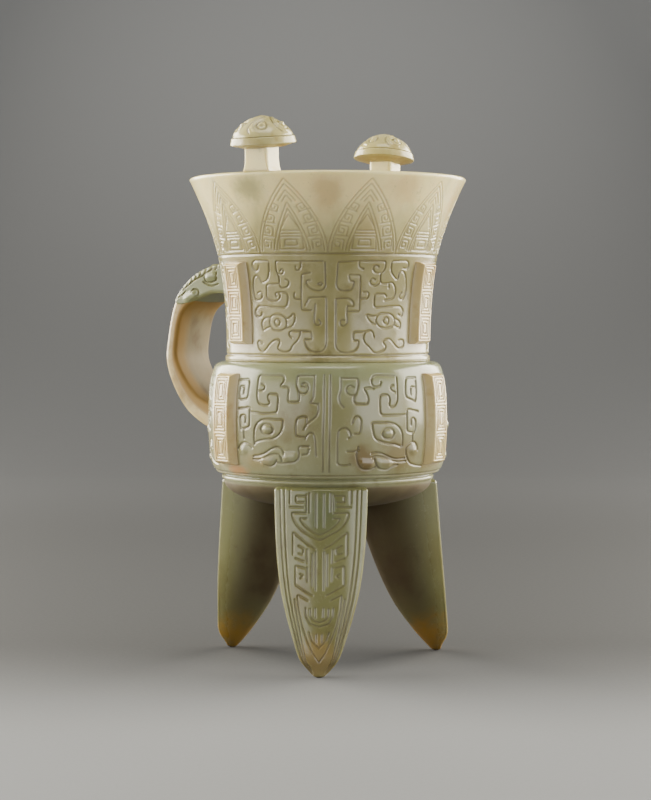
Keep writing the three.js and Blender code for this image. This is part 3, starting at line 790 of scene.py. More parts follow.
neck_left = drawing("""
-1.6,131.6 -8.2,131.6 -16.4,131.7 -16.5,129.3 -16.1,127.8 -15.6,127 -15.6,123.6 -14.8,123.2 -13.3,123.3
 -12.3,124.3 -12.3,125.7 -13.5,126;
-16.1,127.8 -14.8,127.4 -13.9,128 -13.9,129 -14.6,129.3 -15.1,128.5;
-8.1,131.4 -8.4,129.3 -9.3,128.6 -10.1,129.2 -9.9,130;
-15.6,124.6 -20.4,124.3 -20.6,120 -19.6,119.3 -16.9,119 -15.8,119.7 -15.4,121 -16.1,121.8 -17.4,121.5
 -16.9,120.3;
-16.1,121.8 -13.8,121.8 -12.9,121.2 -12.9,119 -13.4,117.3 -14.3,116.9 -24.1,117.5 -25.4,116.3 -25.9,115.7
 -25.4,114.3 -24.3,113.9 -22.9,114.3 -22.8,115.3;
-22.9,130.2 -23.1,129.2 -23.8,128.6 -24.9,129 -25.6,130.2 -25.3,131.3 -24.1,132 -18.8,131.8 -18.9,128.7
 -19.8,126 -20.9,125.2 -22.3,125 -22.9,126 -23.4,127 -24.6,127.2 -25.6,126 -26.1,123.7 -25.9,121 -25.3,119.5
 -23.9,119.3 -22.6,119.8 -22.3,121.3 -22.9,122.2 -24.1,121.7;
-19.9,112.2 -19.6,113.8 -18.3,114.7 -15.6,114.7 -13.9,113.8 -13.4,112 -13.9,110.3 -15.6,109.5 -18.3,109.7
 -19.6,110.8 -19.9,112.2;
-19.9,113.7 -21.6,113.7 -22.8,112.7 -23.1,111.3 -22.4,109.5 -21.3,110.3 -19.6,110.8;
-13.8,113.3 -12.3,113.8 -11.1,115.2 -10.5,114 -10.8,112.3 -11.8,110.8 -13.8,110.4;
-5.4,128 -8.1,127.5 -8.4,122.7 -8.5,120 -8.3,116.2 -5.3,116.1;
-8.6,119.7 -10.3,119.6 -10.9,120.3 -10.6,121.7;
-5.4,125.7 -6.8,125.5 -6.8,124.6 -5.7,123.2 -4.3,122.5 -3,122.2 -1.5,122.6 -0.7,123.7 -0.8,127 -0.9,131.2;
-3.1,124.4 -2.3,125.1 -1.6,124.4 -2.3,123.7 -3.1,124.4;
-7.2,117.8 -6.4,119 -6.2,120.1 -0.5,120.4 -0.5,115 -0.5,106 -0.9,104 -2.3,102.8 -4,102.8 -5.9,103.3
 -7.1,104.8 -7.6,106.9 -5.1,106.8 -5.4,109.4 -11.6,109.5;
-4,118 -4.2,115.5 -4.5,112.6 -3.7,111.2 -2.5,111.3 -2.2,112.4 -3,113.1;
-11.6,109.5 -12.6,109.3 -12.9,108.1 -11.8,107.3;
-8.9,109.4 -9.1,107.7 -9.9,106.3 -11.6,104.8 -11.9,104 -12.6,103 -14.3,102.7 -15.9,103.2 -17.1,104 -16.3,105
 -15.9,106.3 -16.6,106.8 -18.3,106.5 -20.3,105 -21.3,103.7 -22.3,102.8 -23.9,103.5 -24.8,104.5 -25.1,105.8
 -24.4,106.4 -22.9,105.5;
-18,112.2 -17.7,113.1 -16.9,113.4 -16.1,113.1 -15.8,112.2 -16.1,111.3 -16.9,111 -17.7,111.3 -18,112.2;
""")


def panel_strokes(name, strokes, radius, measure, middle):
    """The same panel laid on the wall at each of the three bearings."""
    lays = [on_wall(radius, bearing - math.degrees(middle / measure), measure) for bearing in PANEL_BEARINGS]
    return joined(name, [stroke_object(name, strokes, lay) for lay in lays])


def ring(name, radius, heights):
    """Level grooves all the way round a wall."""
    around = [[(x, z) for x in np.linspace(0, 2 * math.pi * NECK_MEASURE, 240)] for z in heights]
    return stroke_object(name, around, on_wall(radius, 0, NECK_MEASURE), reach=0)


neck_lines = panel_strokes("neck_lines", neck_left + neck_right, neck_radius, NECK_MEASURE, NECK_MIDDLE)
neck_rings = ring("neck_rings", neck_radius, (101.7, 134.0))
print("Neck panel:", len(neck_left) + len(neck_right), "strokes,", len(neck_lines.data.edges), "edges in all")

# %% [markdown]
# Ten upright leaves stand round the flare. Each has a double outline, a small leaf with nested
# squares inside, and a row of square hooks, the thunder pattern, between the two. Such a band is
# one drawing repeated, so a tree instances a single leaf round the axis.

# %% One leaf of the rim band
LEAF_MEASURE, LEAF_FOOT, LEAF_TIP = 38.0, 134.3, 157.4


def leaf_half(z, foot, tip, half, bulge):
    """Half the width of a leaf at a height."""
    share = np.clip((z - foot) / (tip - foot), 0, 1)
    return half * (1 - share**bulge)


def leaf_outline(foot, tip, half, bulge, steps=14):
    """One line up the left edge, over the tip and down the right edge."""
    heights = foot + (tip - foot) * np.linspace(0, 1, steps) ** 0.8
    left = [(-leaf_half(z, foot, tip, half, bulge), z) for z in heights]
    return left + [(-x, z) for x, z in left[-2::-1]]


def square_spiral(width, height, pitch, turns=1.5):
    """A square spiral that starts at its outer corner and winds inwards."""
    x0, x1, z0, z1 = -width / 2, width / 2, -height / 2, height / 2
    points = [(x0, z0)]
    while turns > 0:
        points += [(x0, z1), (x1, z1), (x1, z0), (x0 + pitch, z0)]
        x0, x1, z0, z1 = x0 + pitch, x1 - pitch, z0 + pitch, z1 - pitch
        turns -= 1
        if x1 - x0 < pitch / 2 or z1 - z0 < pitch / 2:
            break
        points.append((x0, z0))
    return points


def placed(stroke, x, z, lean=0.0):
    """A stroke moved to a place and turned by an angle in degrees."""
    c, s = cos_sin(lean)
    return [(x + c * px - s * pz, z + s * px + c * pz) for px, pz in stroke]


hook = [(-1.5, -1.5), (-1.5, 1.3), (1.3, 1.3), (1.3, -1.0), (-0.4, -1.0), (-0.4, 0.3), (0.5, 0.3)]
small_hook = [(-1.1, -1.2), (-1.1, 1.0), (1.0, 1.0), (1.0, -0.7), (-0.2, -0.7), (-0.2, 0.2)]
half_leaf = [
    placed(hook, 8.5, 137.2, 8), placed(hook, 7.3, 141.4, 14), placed(small_hook, 5.9, 145.2, 20),
    placed(small_hook, 4.1, 148.6, 26),
    [(5.6, 139.3), (10.0, 139.9)], [(4.6, 143.4), (8.7, 144.2)], [(3.3, 147.1), (7.0, 148.2)],
]
leaf = half_leaf + mirrored(half_leaf) + [
    leaf_outline(LEAF_FOOT, LEAF_TIP, 12.0, 1.65),
    leaf_outline(LEAF_FOOT + 0.8, LEAF_TIP - 1.6, 10.8, 1.65),
    leaf_outline(LEAF_FOOT + 0.8, 150.2, 6.3, 1.3),
    leaf_outline(LEAF_FOOT + 0.8, 148.2, 5.2, 1.3),
    [(-2.6, 142.6), (0.0, 146.4), (2.6, 142.6)], [(-2.9, 141.3), (2.9, 141.3)], [(-3.4, 140.3), (3.4, 140.3)],
    [(-4.2, 135.4), (-3.7, 139.4), (3.7, 139.4), (4.2, 135.4), (-4.2, 135.4)],
    [(-2.2, 136.6), (-2.0, 138.4), (2.0, 138.4), (2.2, 136.6), (-2.2, 136.6)],
    [(-2.6, 150.6), (0.0, 153.9), (2.6, 150.6)], [(-1.5, 150.3), (0.0, 152.3), (1.5, 150.3)],
]
one_leaf = stroke_object("one_leaf", leaf, on_wall(neck_radius, 0, LEAF_MEASURE), reach=1)

repeat_tree, build, given = new_tree("Repeat round the axis", [
    ("Unit", OBJECT, None),
    ("Count", INTEGER, 10),
    ("First", FLOAT, 0.0),
    ("Stone", "NodeSocketMaterial", None),
])
spots = build.value(
    "GeometryNodeMeshLine", {}, {"Count": given["Count"], "Start Location": tuple(AXIS), "Offset": (0, 0, 0)}
)
step = build.maths("DIVIDE", 2 * math.pi, given["Count"])
turn = build.maths("MULTIPLY_ADD", build.value("GeometryNodeInputIndex"), step, given["First"])
spin = build.value("ShaderNodeCombineXYZ", {}, {"Z": turn})
unit = build.value(
    "GeometryNodeTransform", {}, {"Geometry": build.shape(given["Unit"]), "Translation": tuple(-AXIS)}
)
copies = build.value(
    "GeometryNodeInstanceOnPoints", {}, {"Points": spots, "Instance": unit, "Rotation": spin}
)
end_tree(build, copies, given["Stone"])

leaf_lines = bpy.data.objects.new("leaf_lines", bpy.data.meshes.new("leaf_lines"))
board.objects.link(leaf_lines)
add_tree(leaf_lines, repeat_tree, Unit=one_leaf, Count=10, First=math.radians(-60 + 18))
settle(leaf_lines)
print("Leaf band:", len(leaf), "strokes in a leaf,", len(leaf_lines.data.edges), "edges in the band")

# %% [markdown]
# The neck is carved now. Its outline climbs the outer wall in fine steps where the ornament lies,
# rounds the lip, and runs down the plain bore in long steps. The panel's lines are broad and the
# leaf band's are fine.

# %% Neck
FLANGE_BEARINGS = {"right": 0.5, "front": -115.5, "back": 120.0}
FLANGE_WIDTH, FLANGE_HEIGHT, FLANGE_DRAFT = 8.2, 2.6, 1.1
FLANGES = {
    "neck_flange": (neck_radius, SHOULDER + 5.8, 26.4),
    "belly_flange": (belly_radius, MOULDING_TOP + 4.4, 29.4),
}


def beside_flanges(item, family):
    """How close each point of a wall lies to the foot of a flange, where old polish stays."""
    radius, low, length = FLANGES[family]
    x, y, z = points_of(item).T
    close = np.zeros(len(x))
    for turn in FLANGE_BEARINGS.values():
        aside = np.radians((np.degrees(np.arctan2(y, x)) - turn + 180) % 360 - 180) * np.hypot(x, y)
        past = np.maximum(np.abs(aside) - FLANGE_WIDTH / 2 - FLANGE_DRAFT, 0)
        over = np.maximum(np.maximum(low - z, z - low - length), 0)
        close = np.maximum(close, np.exp(-np.hypot(past, over) / 0.8))
    return close * (np.hypot(x, y) > radius(z) - 1)


STAVES = ((-115.5, 0.5), (0.5, 120.0), (120.0, 244.5))
ROW_PITCH = 0.25


def arc(centre, radius, start, stop, steps):
    """A rounded corner, from one angle to another."""
    turns = map(cos_sin, np.linspace(start, stop, steps))
    return [(centre[0] + radius * c, centre[1] + radius * s) for c, s in turns]


neck_outline = [(BAND_RADIUS - 0.2, SHOULDER), (BAND_RADIUS, SHOULDER + 0.3), (BAND_RADIUS, SHOULDER + 0.9)]
neck_outline += [(BAND_RADIUS, SHOULDER + 1.3), (BAND_RADIUS - 0.1, SHOULDER + 1.7)]
neck_outline += [(neck_radius(z), z) for z in np.arange(NECK_FOOT, 158.4, ROW_PITCH)]
neck_outline += arc((RIM_RADIUS - 1.0, RIM - 0.9), 0.9, 10, 90, 7)
neck_outline += arc((RIM_RADIUS - LIP - EDGE + 0.9, RIM - 0.9), 0.9, 90, 160, 6)
throat = NECK_RADIUS - WALL
bore = bezier(
    (RIM_RADIUS - EDGE - LIP, RIM),
    (lerp(throat, RIM_RADIUS - LIP, 0.34), lerp(NECK_FOOT, RIM, 0.7)),
    (throat + 0.4, lerp(NECK_FOOT, RIM, 0.45)),
    (throat, SHOULDER),
    26,
)
neck_outline += [tuple(point) for point in bore[1:]]


def carved_wall(node, outline, columns, stone, cuts):
    """The three staves of a turned wall. cuts holds (strokes, width, depth, mark)."""
    profile = outline_object(f"{node}_profile", outline)
    for number, (first, last) in enumerate(STAVES, 1):
        item = stave(f"{node}_stave_{number}", profile, first, last, columns, stone)
        for lines, width, depth, mark in cuts:
            carve(item, lines, width, depth, stone, mark)
        settle(item)
        close_ends(item)
        tint(item, "foot", beside_flanges(item, f"{node}_flange"))
        # Under the bowl, below the moulding, the colour is painted dark as shade.
        tint(item, "raw", ramp((LEG_HEIGHT + 0.4 - points_of(item)[:, 2]) / 0.8))
        dress(item, node)


carved_wall("neck", neck_outline, 320, cream_jade, [
    (neck_lines, 0.85, 0.34, "cut"), (neck_rings, 0.9, 0.35, "cut"), (leaf_lines, 0.62, 0.22, "fine"),
])

# %% [markdown]
# The belly's panel is a second beast's face, larger and bolder: an upright double ridge for a nose,
# drop-shaped eyes, square horns beside the flanges and a curled snout at the bottom. Its lines are
# cut as the neck's are, and the eyes and snout swell a little out of the wall.

# %% Strokes of the belly panel
BELLY_MEASURE, BELLY_MIDDLE = 39.0, 1.70

belly_right = drawing("""
4.2,94.6 4.2,91 3.4,88.5 3.8,86.7 4.9,85.4;
4.2,94.6 9.6,94.6 9.8,92.9 9.2,90.4 8.7,89.3 7.3,89.1 6,89.8 5.6,90.9 6.2,92 7.3,92.4 8.1,91.7;
8.3,89.3 8.1,87.1 8.7,86.5 12.6,86.3 13,87.9 12.4,89.6 11.4,91.4 14,91.7 14.8,91.2;
22.8,95.2 21.5,95.2 17.3,95.5 15.1,95.4 14.2,94.3 14.2,92.5 15.1,91.8 16.5,91.9 17.4,92.5 17.5,93.4;
23.5,94.8 23.3,87.5 22.3,85.7 21.2,85.3 20.1,85.4 20.1,86.3 20.5,87.5 20.1,88.9 19,89.4 17.3,89.3 16.8,88.6
 16.7,85.7 16.9,83.2 17.6,82.7 26.9,82.7;
22.5,90 21.2,90.5 20.6,91.4 21.2,92.3 22,92.3;
32,94.5 27.6,94.6 27.1,93.6 26.5,90 26.9,88.2 30.8,86.8 31.4,89.3 31.7,93.6;
31.2,91.4 28.9,91.6 28.9,89.2;
31.9,83.6 27.1,84.5 26.9,83.9 26.9,77.7 27.6,77.1 30.1,76.8 30.8,78.6 30.6,81.1 29.4,81.6 28.7,81.3
 28.7,79.4;
29.4,76.8 29.4,74;
31.9,71.2 31.5,72.9 30.6,73.8 29.4,73.9 27.6,73 26.7,72.1 26.9,70 28,67.9 29.4,66.8 31.9,66.2 35.1,65.9;
25.1,72.8 25.3,75 25.1,76.8 24,78.6 22.3,79.8 20.1,80.4 16.2,80.4 14,80.5 14.2,78.6 14.6,76.4 15.5,75
 18.7,73.9 22.3,73.4 24.6,72.7;
21.9,76.9 21.4,78.1 20,78.6 18.3,78.3 17.5,77 17.9,75.7 19.5,75.2 21.2,75.5 21.9,76.9;
7.7,80.4 8.2,82.4 9.2,82.6 10.2,82 10.5,80.3 10.2,77.6 9.8,76.9 8.2,77;
3,70 3,75.5 3.2,77.9 4.2,78.9 5.3,79 6.4,78.4 7,77.2 7.3,76 6.4,75.6;
3,70 3,67.3 5,66.9 7,67.2;
9.8,71.8 7.8,71.3 6,71.5;
14,70.7 15.1,71 17.3,70.7 19.4,69.8 21.5,68.9 23.7,68.6 26.5,68.8;
14.4,69.3 15.1,69.8 17.3,69.7 19.4,69.1 21.5,68.2 23.7,67.7 26.9,67.8;
15.1,68.9 15.8,66.8 17.3,65.5 20.1,65.2 22.3,66.6 23.7,66.8;
9.6,72.8 9,70.4 9.4,67.9 10.1,66.4 11.5,65.5 13.7,65.4 15.5,66.3;
""")
belly_left = drawing("""
-4.1,95.4 -9.8,95.4 -10,92.5 -9.5,91.1 -9,90 -8.9,87.5 -9.4,87 -12.6,87.1 -12.6,89.3 -12.3,91.4 -13.2,91.8
 -15.5,92.1 -14.9,92.9 -14.2,93.5 -14.2,94.9 -14.7,95.4 -23.6,95.4 -23.8,91 -23.7,87.9 -23,86.4 -20.8,85.8
 -19,86.1 -18.7,86.8 -19.6,87.9 -19.6,89.3 -18.7,89.6 -16.2,89.5 -15.9,88.2 -16.2,84.3;
-9.3,90.5 -8.5,89.8 -7.2,89.6 -6.2,90.5 -6,92 -6.7,93 -7.8,93.2 -8.5,92.6 -8,91.8 -7.2,91.9;
-4.1,95.4 -4.3,91 -4.5,88.5 -5.5,86.7 -3.4,86.5;
-3,86.6 -2.8,84.5 -3.6,82.5 -5.5,81 -6.6,80 -7.5,78.4;
-25.8,83.6 -24,83.6 -21.5,83.2 -18,83.4 -16.5,83.7;
-22.3,92.7 -21.2,92.5 -20.8,91.4 -21.5,90.5 -23.2,90.4;
-31.9,93.9 -27.6,94.1 -27.1,93.2 -27.3,89.6 -27.6,87.9 -30.5,87.4 -31.2,87.9 -31.5,89.6 -31.2,91.4;
-30.8,91.8 -29.2,91.8 -29.4,89.5;
-31.4,84.6 -28.5,84.8 -26.4,85.2 -26.4,84.4 -26.6,78.9 -29.2,78.1 -30.5,78.2 -30.6,80 -30.6,82.1 -30.1,82.5
 -28.5,82.5 -28.1,81.8 -28.3,80.2;
-29.1,78 -29,75;
-32,71.8 -30.5,73.4 -28.7,73.8 -26.9,73.2 -25.8,72.1;
-24.7,73.4 -24.8,75.4 -24.6,77.9 -23.7,80 -21.9,81.2 -19.4,81.6 -16.5,81.4 -14.2,81.4 -14.3,79.3 -14.9,77.5
 -16.2,76.1 -18,75.2 -20.8,75 -23,74.5 -24.7,73.8;
-22.2,78.2 -21.7,79.4 -20.3,80 -18.5,79.7 -17.5,78.4 -18,77 -19.6,76.5 -21.4,76.9 -22.2,78.2;
-6.4,80.4 -6.4,82.4 -8.3,82.5 -9.6,81.8 -10,80 -10,76.6 -9.4,76.1 -7.2,76.1;
-7.1,75.4 -6,77.2 -5,77.6 -4.2,76.8 -3.9,75 -3.7,70;
-5.9,73 -9,73.1 -9.3,72 -9,70.4 -9.4,69 -10.6,68 -13,67.7 -15.1,67.4 -16.9,67.8;
-8,70.4 -6.3,70.6 -5.9,72;
-25.5,68.6 -23.7,68.4 -21.5,68.9 -19.4,70 -17.3,70.5 -15.8,70.4 -15.1,69.3 -14.9,68;
-25.3,69.5 -23,69.8 -20.5,70.7 -18.7,72 -16.9,72.6 -15.5,72.7 -14.4,71.8 -14.1,69.8;
-22.8,67.9 -20.8,66.8 -18.7,66.4 -17.6,67 -16.7,68.4;
""")
nose = drawing("""
-1.1,95.6 -1.2,85 -1.5,75 -1.6,64.9;
0.8,95.6 0.7,85 0.5,75 0.4,64.9;
""")
swellings = drawing("""
19.5,76.9 19.9,76.9;
-19.6,78.2 -20,78.2;
29.9,71.2 30.3,71.2;
-29.4,71.3 -29.8,71.3;
11.3,67.4 13.8,67.2;
17.2,67.4 20,67.2;
-19.2,68.1 -21.4,68;
-11,69.6 -13.2,69.4;
""")
belly_lines = panel_strokes(
    "belly_lines", belly_left + belly_right + nose, belly_radius, BELLY_MEASURE, BELLY_MIDDLE
)
belly_swells = panel_strokes("belly_swells", swellings, belly_radius, BELLY_MEASURE, BELLY_MIDDLE)
belly_rings = ring("belly_rings", belly_radius, (63.4,))
print("Belly panel:", len(belly_left) + len(belly_right), "strokes and", len(swellings), "swellings")

# %% Belly
BOWL_DROP, FLOOR = 9.2, 8.0


def bowl(grow=0.0, count=24):
    """The round bottom, from the axis out to the moulding."""
    points = []
    for angle in np.linspace(0, math.pi / 2, count):
        reach = math.sin(angle) ** 0.9 * (MOULDING_RADIUS - 0.8)
        points.append((max(reach, 0.02) + grow, LEG_HEIGHT - BOWL_DROP * math.cos(angle) - grow))
    return points


belly_outline = bowl()
belly_outline += arc((MOULDING_RADIUS - 0.8, LEG_HEIGHT + 1.3), 0.8, -60, 60, 7)
belly_outline += [(BELLY_FOOT - 0.25, MOULDING_TOP - 0.1)]
belly_outline += [(belly_radius(z), z) for z in np.arange(MOULDING_TOP + 0.1, 64.0, 0.15)]
belly_outline += [(belly_radius(z), z) for z in np.arange(64.0, 97.0, ROW_PITCH)]
belly_outline += [(belly_radius(z), z) for z in (97.4, 97.8, 98.2, 98.55, 98.85, 99.1, 99.3)]
belly_outline += [(BAND_RADIUS - 0.1, SHOULDER)]
well = spline([
    (throat, SHOULDER),
    (throat + 0.6, SHOULDER - 0.1 * BELLY_HEIGHT),
    (BELLY_RADIUS - WALL - 0.8, SHOULDER - 0.36 * BELLY_HEIGHT),
    (BELLY_RADIUS - WALL - 0.6, SHOULDER - 0.6 * BELLY_HEIGHT),
    (BELLY_RADIUS - WALL - 4.5, MOULDING_TOP + 0.08 * BELLY_HEIGHT),
    (0.6 * BELLY_RADIUS, LEG_HEIGHT - BOWL_DROP + FLOOR + 1.6),
    (0.35 * BELLY_RADIUS, LEG_HEIGHT - BOWL_DROP + FLOOR),
], 30)
belly_outline += [tuple(point) for point in well]
belly_outline += [(r, LEG_HEIGHT - BOWL_DROP + FLOOR) for r in (9.0, 4.0, 0.02)]
carved_wall("belly", belly_outline, 350, celadon_jade, [
    (belly_swells, 4.4, -0.45, "raised"), (belly_lines, 0.95, 0.4, "cut"), (belly_rings, 1.1, 0.35, "cut"),
])

# %% [markdown]
# A leg is a broad leaf of stone. Its outer face is a gentle barrel, its flanks close on an inner
# ridge, and all its lines run to the pointed foot. The skin is woven from level rings, close
# together on the carved face and wide apart on the plain flanks.

# %% Skins made of rings
def skin(name, rings, stone):
    """A closed skin over a stack of rings; rings is (rows, columns, 3) in mm about the axis."""
    rows, columns = rings.shape[:2]
    points = np.concatenate([rings.reshape(-1, 3), rings[:1].mean(1), rings[-1:].mean(1)]) * MM + AXIS
    row, column = np.meshgrid(np.arange(rows - 1), np.arange(columns), indexing="ij")
    here, following = row * columns + column, row * columns + (column + 1) % columns
    quads = np.stack([here, following, following + columns, here + columns], -1).reshape(-1, 4)
    around = np.arange(columns)
    low = np.stack([np.full(columns, rows * columns), (around + 1) % columns, around], -1)
    top = (rows - 1) * columns
    high = np.stack([np.full(columns, rows * columns + 1), top + around, top + (around + 1) % columns], -1)
    mesh = bpy.data.meshes.new(name)
    mesh.from_pydata(points.tolist(), [], quads.tolist() + low.tolist() + high.tolist())
    mesh.polygons.foreach_set("use_smooth", [True] * len(mesh.polygons))
    mesh.materials.append(stone)
    item = bpy.data.objects.new(name, mesh)
    bpy.context.scene.collection.objects.link(item)
    return item


def turned_by(points, bearing):
    """Points turned round the axis by a bearing in degrees."""
    c, s = cos_sin(bearing)
    x, y, z = np.moveaxis(np.asarray(points, float), -1, 0)
    return np.stack([c * x - s * y, s * x + c * y, z], -1)


# %% Legs
LEG_ACROSS, LEG_ARRIS, LEG_DOWN = 108, 6, 22
flank_share = (np.arange(1, LEG_DOWN) / LEG_DOWN) ** 1.15
# How strongly each point of a leg ring is painted with shade: not on the face, rising over the flanks to the
# inner ridge.
flank_shade = np.concatenate([np.zeros(LEG_ARRIS), ramp(flank_share * 1.5 - 0.12)])
leg_shade = np.concatenate([np.zeros(LEG_ACROSS + 1), flank_shade, [1.0], flank_shade[::-1]])
LEG_BEARINGS = {"front_leg": -63.8, "back_leg": 54.8, "handle_leg": 173.5}
LEG_WIDTH, LEG_TOP, LEG_SPLAY, LEG_RIDGE = 30.2, 36.9, 5.9, 9.5
FOOT_REACH, FOOT_FLAT, FACE_RADIUS, LEG_EASE = 40.8, 2.6, 32.0, 1.2
leg_widths = spline([
    (FOOT_FLAT / 2, 0), *((share * LEG_WIDTH, level * LEG_HEIGHT) for share, level in (
        (0.125, 0.04), (0.212, 0.1), (0.288, 0.21), (0.36, 0.33), (0.43, 0.49), (0.475, 0.7), (0.5, 1),
    )),
])
leg_outer = spline([
    (FOOT_REACH + FOOT_FLAT / 2, 0), (LEG_TOP + 0.86 * LEG_SPLAY, 0.04 * LEG_HEIGHT),
    (LEG_TOP + LEG_SPLAY, 0.12 * LEG_HEIGHT), (LEG_TOP + 0.72 * LEG_SPLAY, 0.3 * LEG_HEIGHT),
    (LEG_TOP + 0.36 * LEG_SPLAY, 0.6 * LEG_HEIGHT), (LEG_TOP, LEG_HEIGHT),
])
leg_ridge = spline([
    (FOOT_REACH - FOOT_FLAT / 2, 0), *(
        (lerp(LEG_RIDGE, FOOT_REACH, share), level * LEG_HEIGHT)
        for share, level in ((0.72, 0.13), (0.46, 0.31), (0.22, 0.57), (0.07, 0.8), (0, 1))
    ),
])


def leg_half(z):
    """Half the width of a leg at a height."""
    return reach_at(leg_widths, z)


def leg_ring(z):
    """One level of a leg: across the face from one edge to the other, and back over the ridge."""
    ease_in = LEG_EASE * max(0.0, (z - LEG_HEIGHT + LEG_EASE) / LEG_EASE) ** 2
    round_in = 0.55 * max(0.0, 1 - z / 0.7) ** 2
    half = leg_half(z) - ease_in - round_in
    outer = reach_at(leg_outer, z) - ease_in - round_in
    inner = reach_at(leg_ridge, z) + round_in
    spread = math.asin(min(0.95, half / FACE_RADIUS))
    soft = min(0.9, 0.3 * half)
    angles = np.linspace(-spread + soft / FACE_RADIUS, spread - soft / FACE_RADIUS, LEG_ACROSS + 1)
    face = np.column_stack([outer - FACE_RADIUS * (1 - np.cos(angles)), FACE_RADIUS * np.sin(angles)])
    edge = outer - FACE_RADIUS * (1 - math.cos(spread))
    flank = np.column_stack([lerp(edge, inner, flank_share), half * (1 - flank_share**2.1) ** 0.72])
    turn = np.linspace(0, 1, LEG_ARRIS + 2)[1:-1, None]
    corner, back = np.array([edge, half]), np.array([edge - soft, half])
    arris = (1 - turn) ** 2 * face[-1] + 2 * turn * (1 - turn) * corner + turn**2 * back
    flank[:, 0] = np.minimum(flank[:, 0], edge - soft - 0.02 * np.arange(1, LEG_DOWN))
    ring = np.vstack([face, arris, flank, [[inner, 0]], flank[::-1] * [1, -1], arris[::-1] * [1, -1]])
    return np.column_stack([ring, np.full(len(ring), z)])


def on_leg(bearing):
    """Lays (distance across, height) on the outer face of a leg."""
    def lay(points):
        y, z = points[:, 0], points[:, 1]
        x = reach_at(leg_outer, z) - FACE_RADIUS * (1 - np.sqrt(1 - (y / FACE_RADIUS) ** 2))
        return turned_by(np.column_stack([x, y, z]), bearing)
    return lay


def leg_border(share, top=59.4, foot=1.2):
    """A line that keeps to one share of the half width, all the way to the foot."""
    heights = np.linspace(top, foot, 40)
    return [(-share * leg_half(z), z) for z in heights]


leg_half_strokes = [leg_border(0.86), leg_border(0.765), leg_border(0.66, 24.5, 2.0)] + drawing("""
-3.6,59.3 -9.7,59.3 -9.7,54.7;
-4.7,57.1 -7.7,57.1 -7.7,55.1 -5.2,55.1;
-4.3,57.6 -4.3,52.4;
-3.4,58 -3.4,52;
-9.7,53.5 -5.3,53.5;
-4.3,51.7 -9,51.7 -8.7,50.1 -7.8,48.3 -5.8,46.2 -3.5,44.9 -1.2,43.6 0,43.2;
-4.3,50 -6.4,50 -5.5,48.4 -3.7,46.8 -1.6,45.4 0,44.8;
-8.6,38.5 -8.6,45.6 -3.5,41.6 -1.4,40.4;
-6.8,41.4 -5,40.4 -5.4,38.5 -6.8,38.9;
-7.8,37.4 -5,36.4;
-4.1,40.2 -3.9,36;
-4.7,34.3 -7.7,35 -7.7,29.3;
-6.2,32.5 -5.1,31.9 -6.1,31.1;
-4,34.6 -3.8,30.2;
-7.6,28.9 -3.9,26.6 -2.2,25.8;
-3.6,24.2 -7,25.9 -6.6,21.2 -5.5,16.5 -3.9,12 -2,7.8 0,4.8;
-1.3,57.8 -1.3,47.2;
-1.3,39.6 -1.3,27.4;
-2.4,38.8 -2.4,28.6;
-4.4,21.8 -4.3,19.4 -3,17 0,15.9;
-2.9,21.6 -2.8,19.3 -1.9,18 0,17.3;
-1.3,21.8 -1.2,19;
-3.2,14.2 -2.2,11.6 0,9.4;
-0.9,13.6 -0.9,11.2;
""")
leg_strokes = leg_half_strokes + mirrored(leg_half_strokes)
heights = np.concatenate([
    np.linspace(0, 0.7, 6), np.linspace(0.9, LEG_HEIGHT - LEG_EASE, 226),
    np.linspace(LEG_HEIGHT - 1, LEG_HEIGHT, 6),
])
leg_rings = np.array([leg_ring(z) for z in heights])
for name, bearing in LEG_BEARINGS.items():
    item = skin(f"{name}_skin", turned_by(leg_rings, bearing), olive_jade)
    # The painted shade is a quarter as strong near the foot and full from the upper leg up to the bowl.
    low = 0.25 + 0.75 * ramp((heights - 6) / 18)
    tint(item, "raw", np.concatenate([np.outer(low, leg_shade).ravel(), [0, 0]]))
    lines = stroke_object("leg_lines", leg_strokes, on_leg(bearing), reach=1)
    carve(item, lines, 0.8, 0.3, olive_jade)
    settle(item)
    dress(item, name)

# %% [markdown]
# Six upright flanges part the panels. Each is a bar that follows the wall behind it. Its narrow
# face holds three tall units of nested rectangles, the top one open like a spiral. Its sides are
# plain, and old ochre polish has stayed on them and in the corner where they meet the wall.

# %% Flanges
FLANGE_LET_IN, FLANGE_ARRIS, FLANGE_ENDS, NEST = 0.35, 0.35, 0.9, (6.1, 4.1, 2.1)


def flange_ring(radius, low, length, z):
    """One level of a flange: root, side, face, side, root, and back inside the wall."""
    end = min(z - low, low + length - z)
    rise = FLANGE_HEIGHT * (0.3 + 0.7 * min(1.0, max(0.0, end)) ** 0.7)
    root = float(radius(z))
    half_root = FLANGE_WIDTH / 2 + FLANGE_DRAFT
    half_face = lerp(half_root, FLANGE_WIDTH / 2, rise / FLANGE_HEIGHT)
    base, face = math.sqrt(root**2 - half_root**2) - FLANGE_LET_IN, root + rise
    wall = base + FLANGE_LET_IN
    line = [(base, -half_root), (wall, -half_root)]
    line += [(lerp(wall, face, s), -lerp(half_root, half_face, s)) for s in (0.25, 0.5, 0.75, 0.92)]
    line += [(face - 0.05, -half_face + 0.12)]
    line += [(face, y) for y in np.linspace(-half_face + FLANGE_ARRIS, half_face - FLANGE_ARRIS, 80)]
    line += [(x, -y) for x, y in line[6::-1]]
    return [(x, y, z) for x, y in line]


def rectangle(width, height, middle):
    """A closed upright rectangle about a height."""
    x, z = width / 2, height / 2
    return [(-x, middle - z), (x, middle - z), (x, middle + z), (-x, middle + z), (-x, middle - z)]


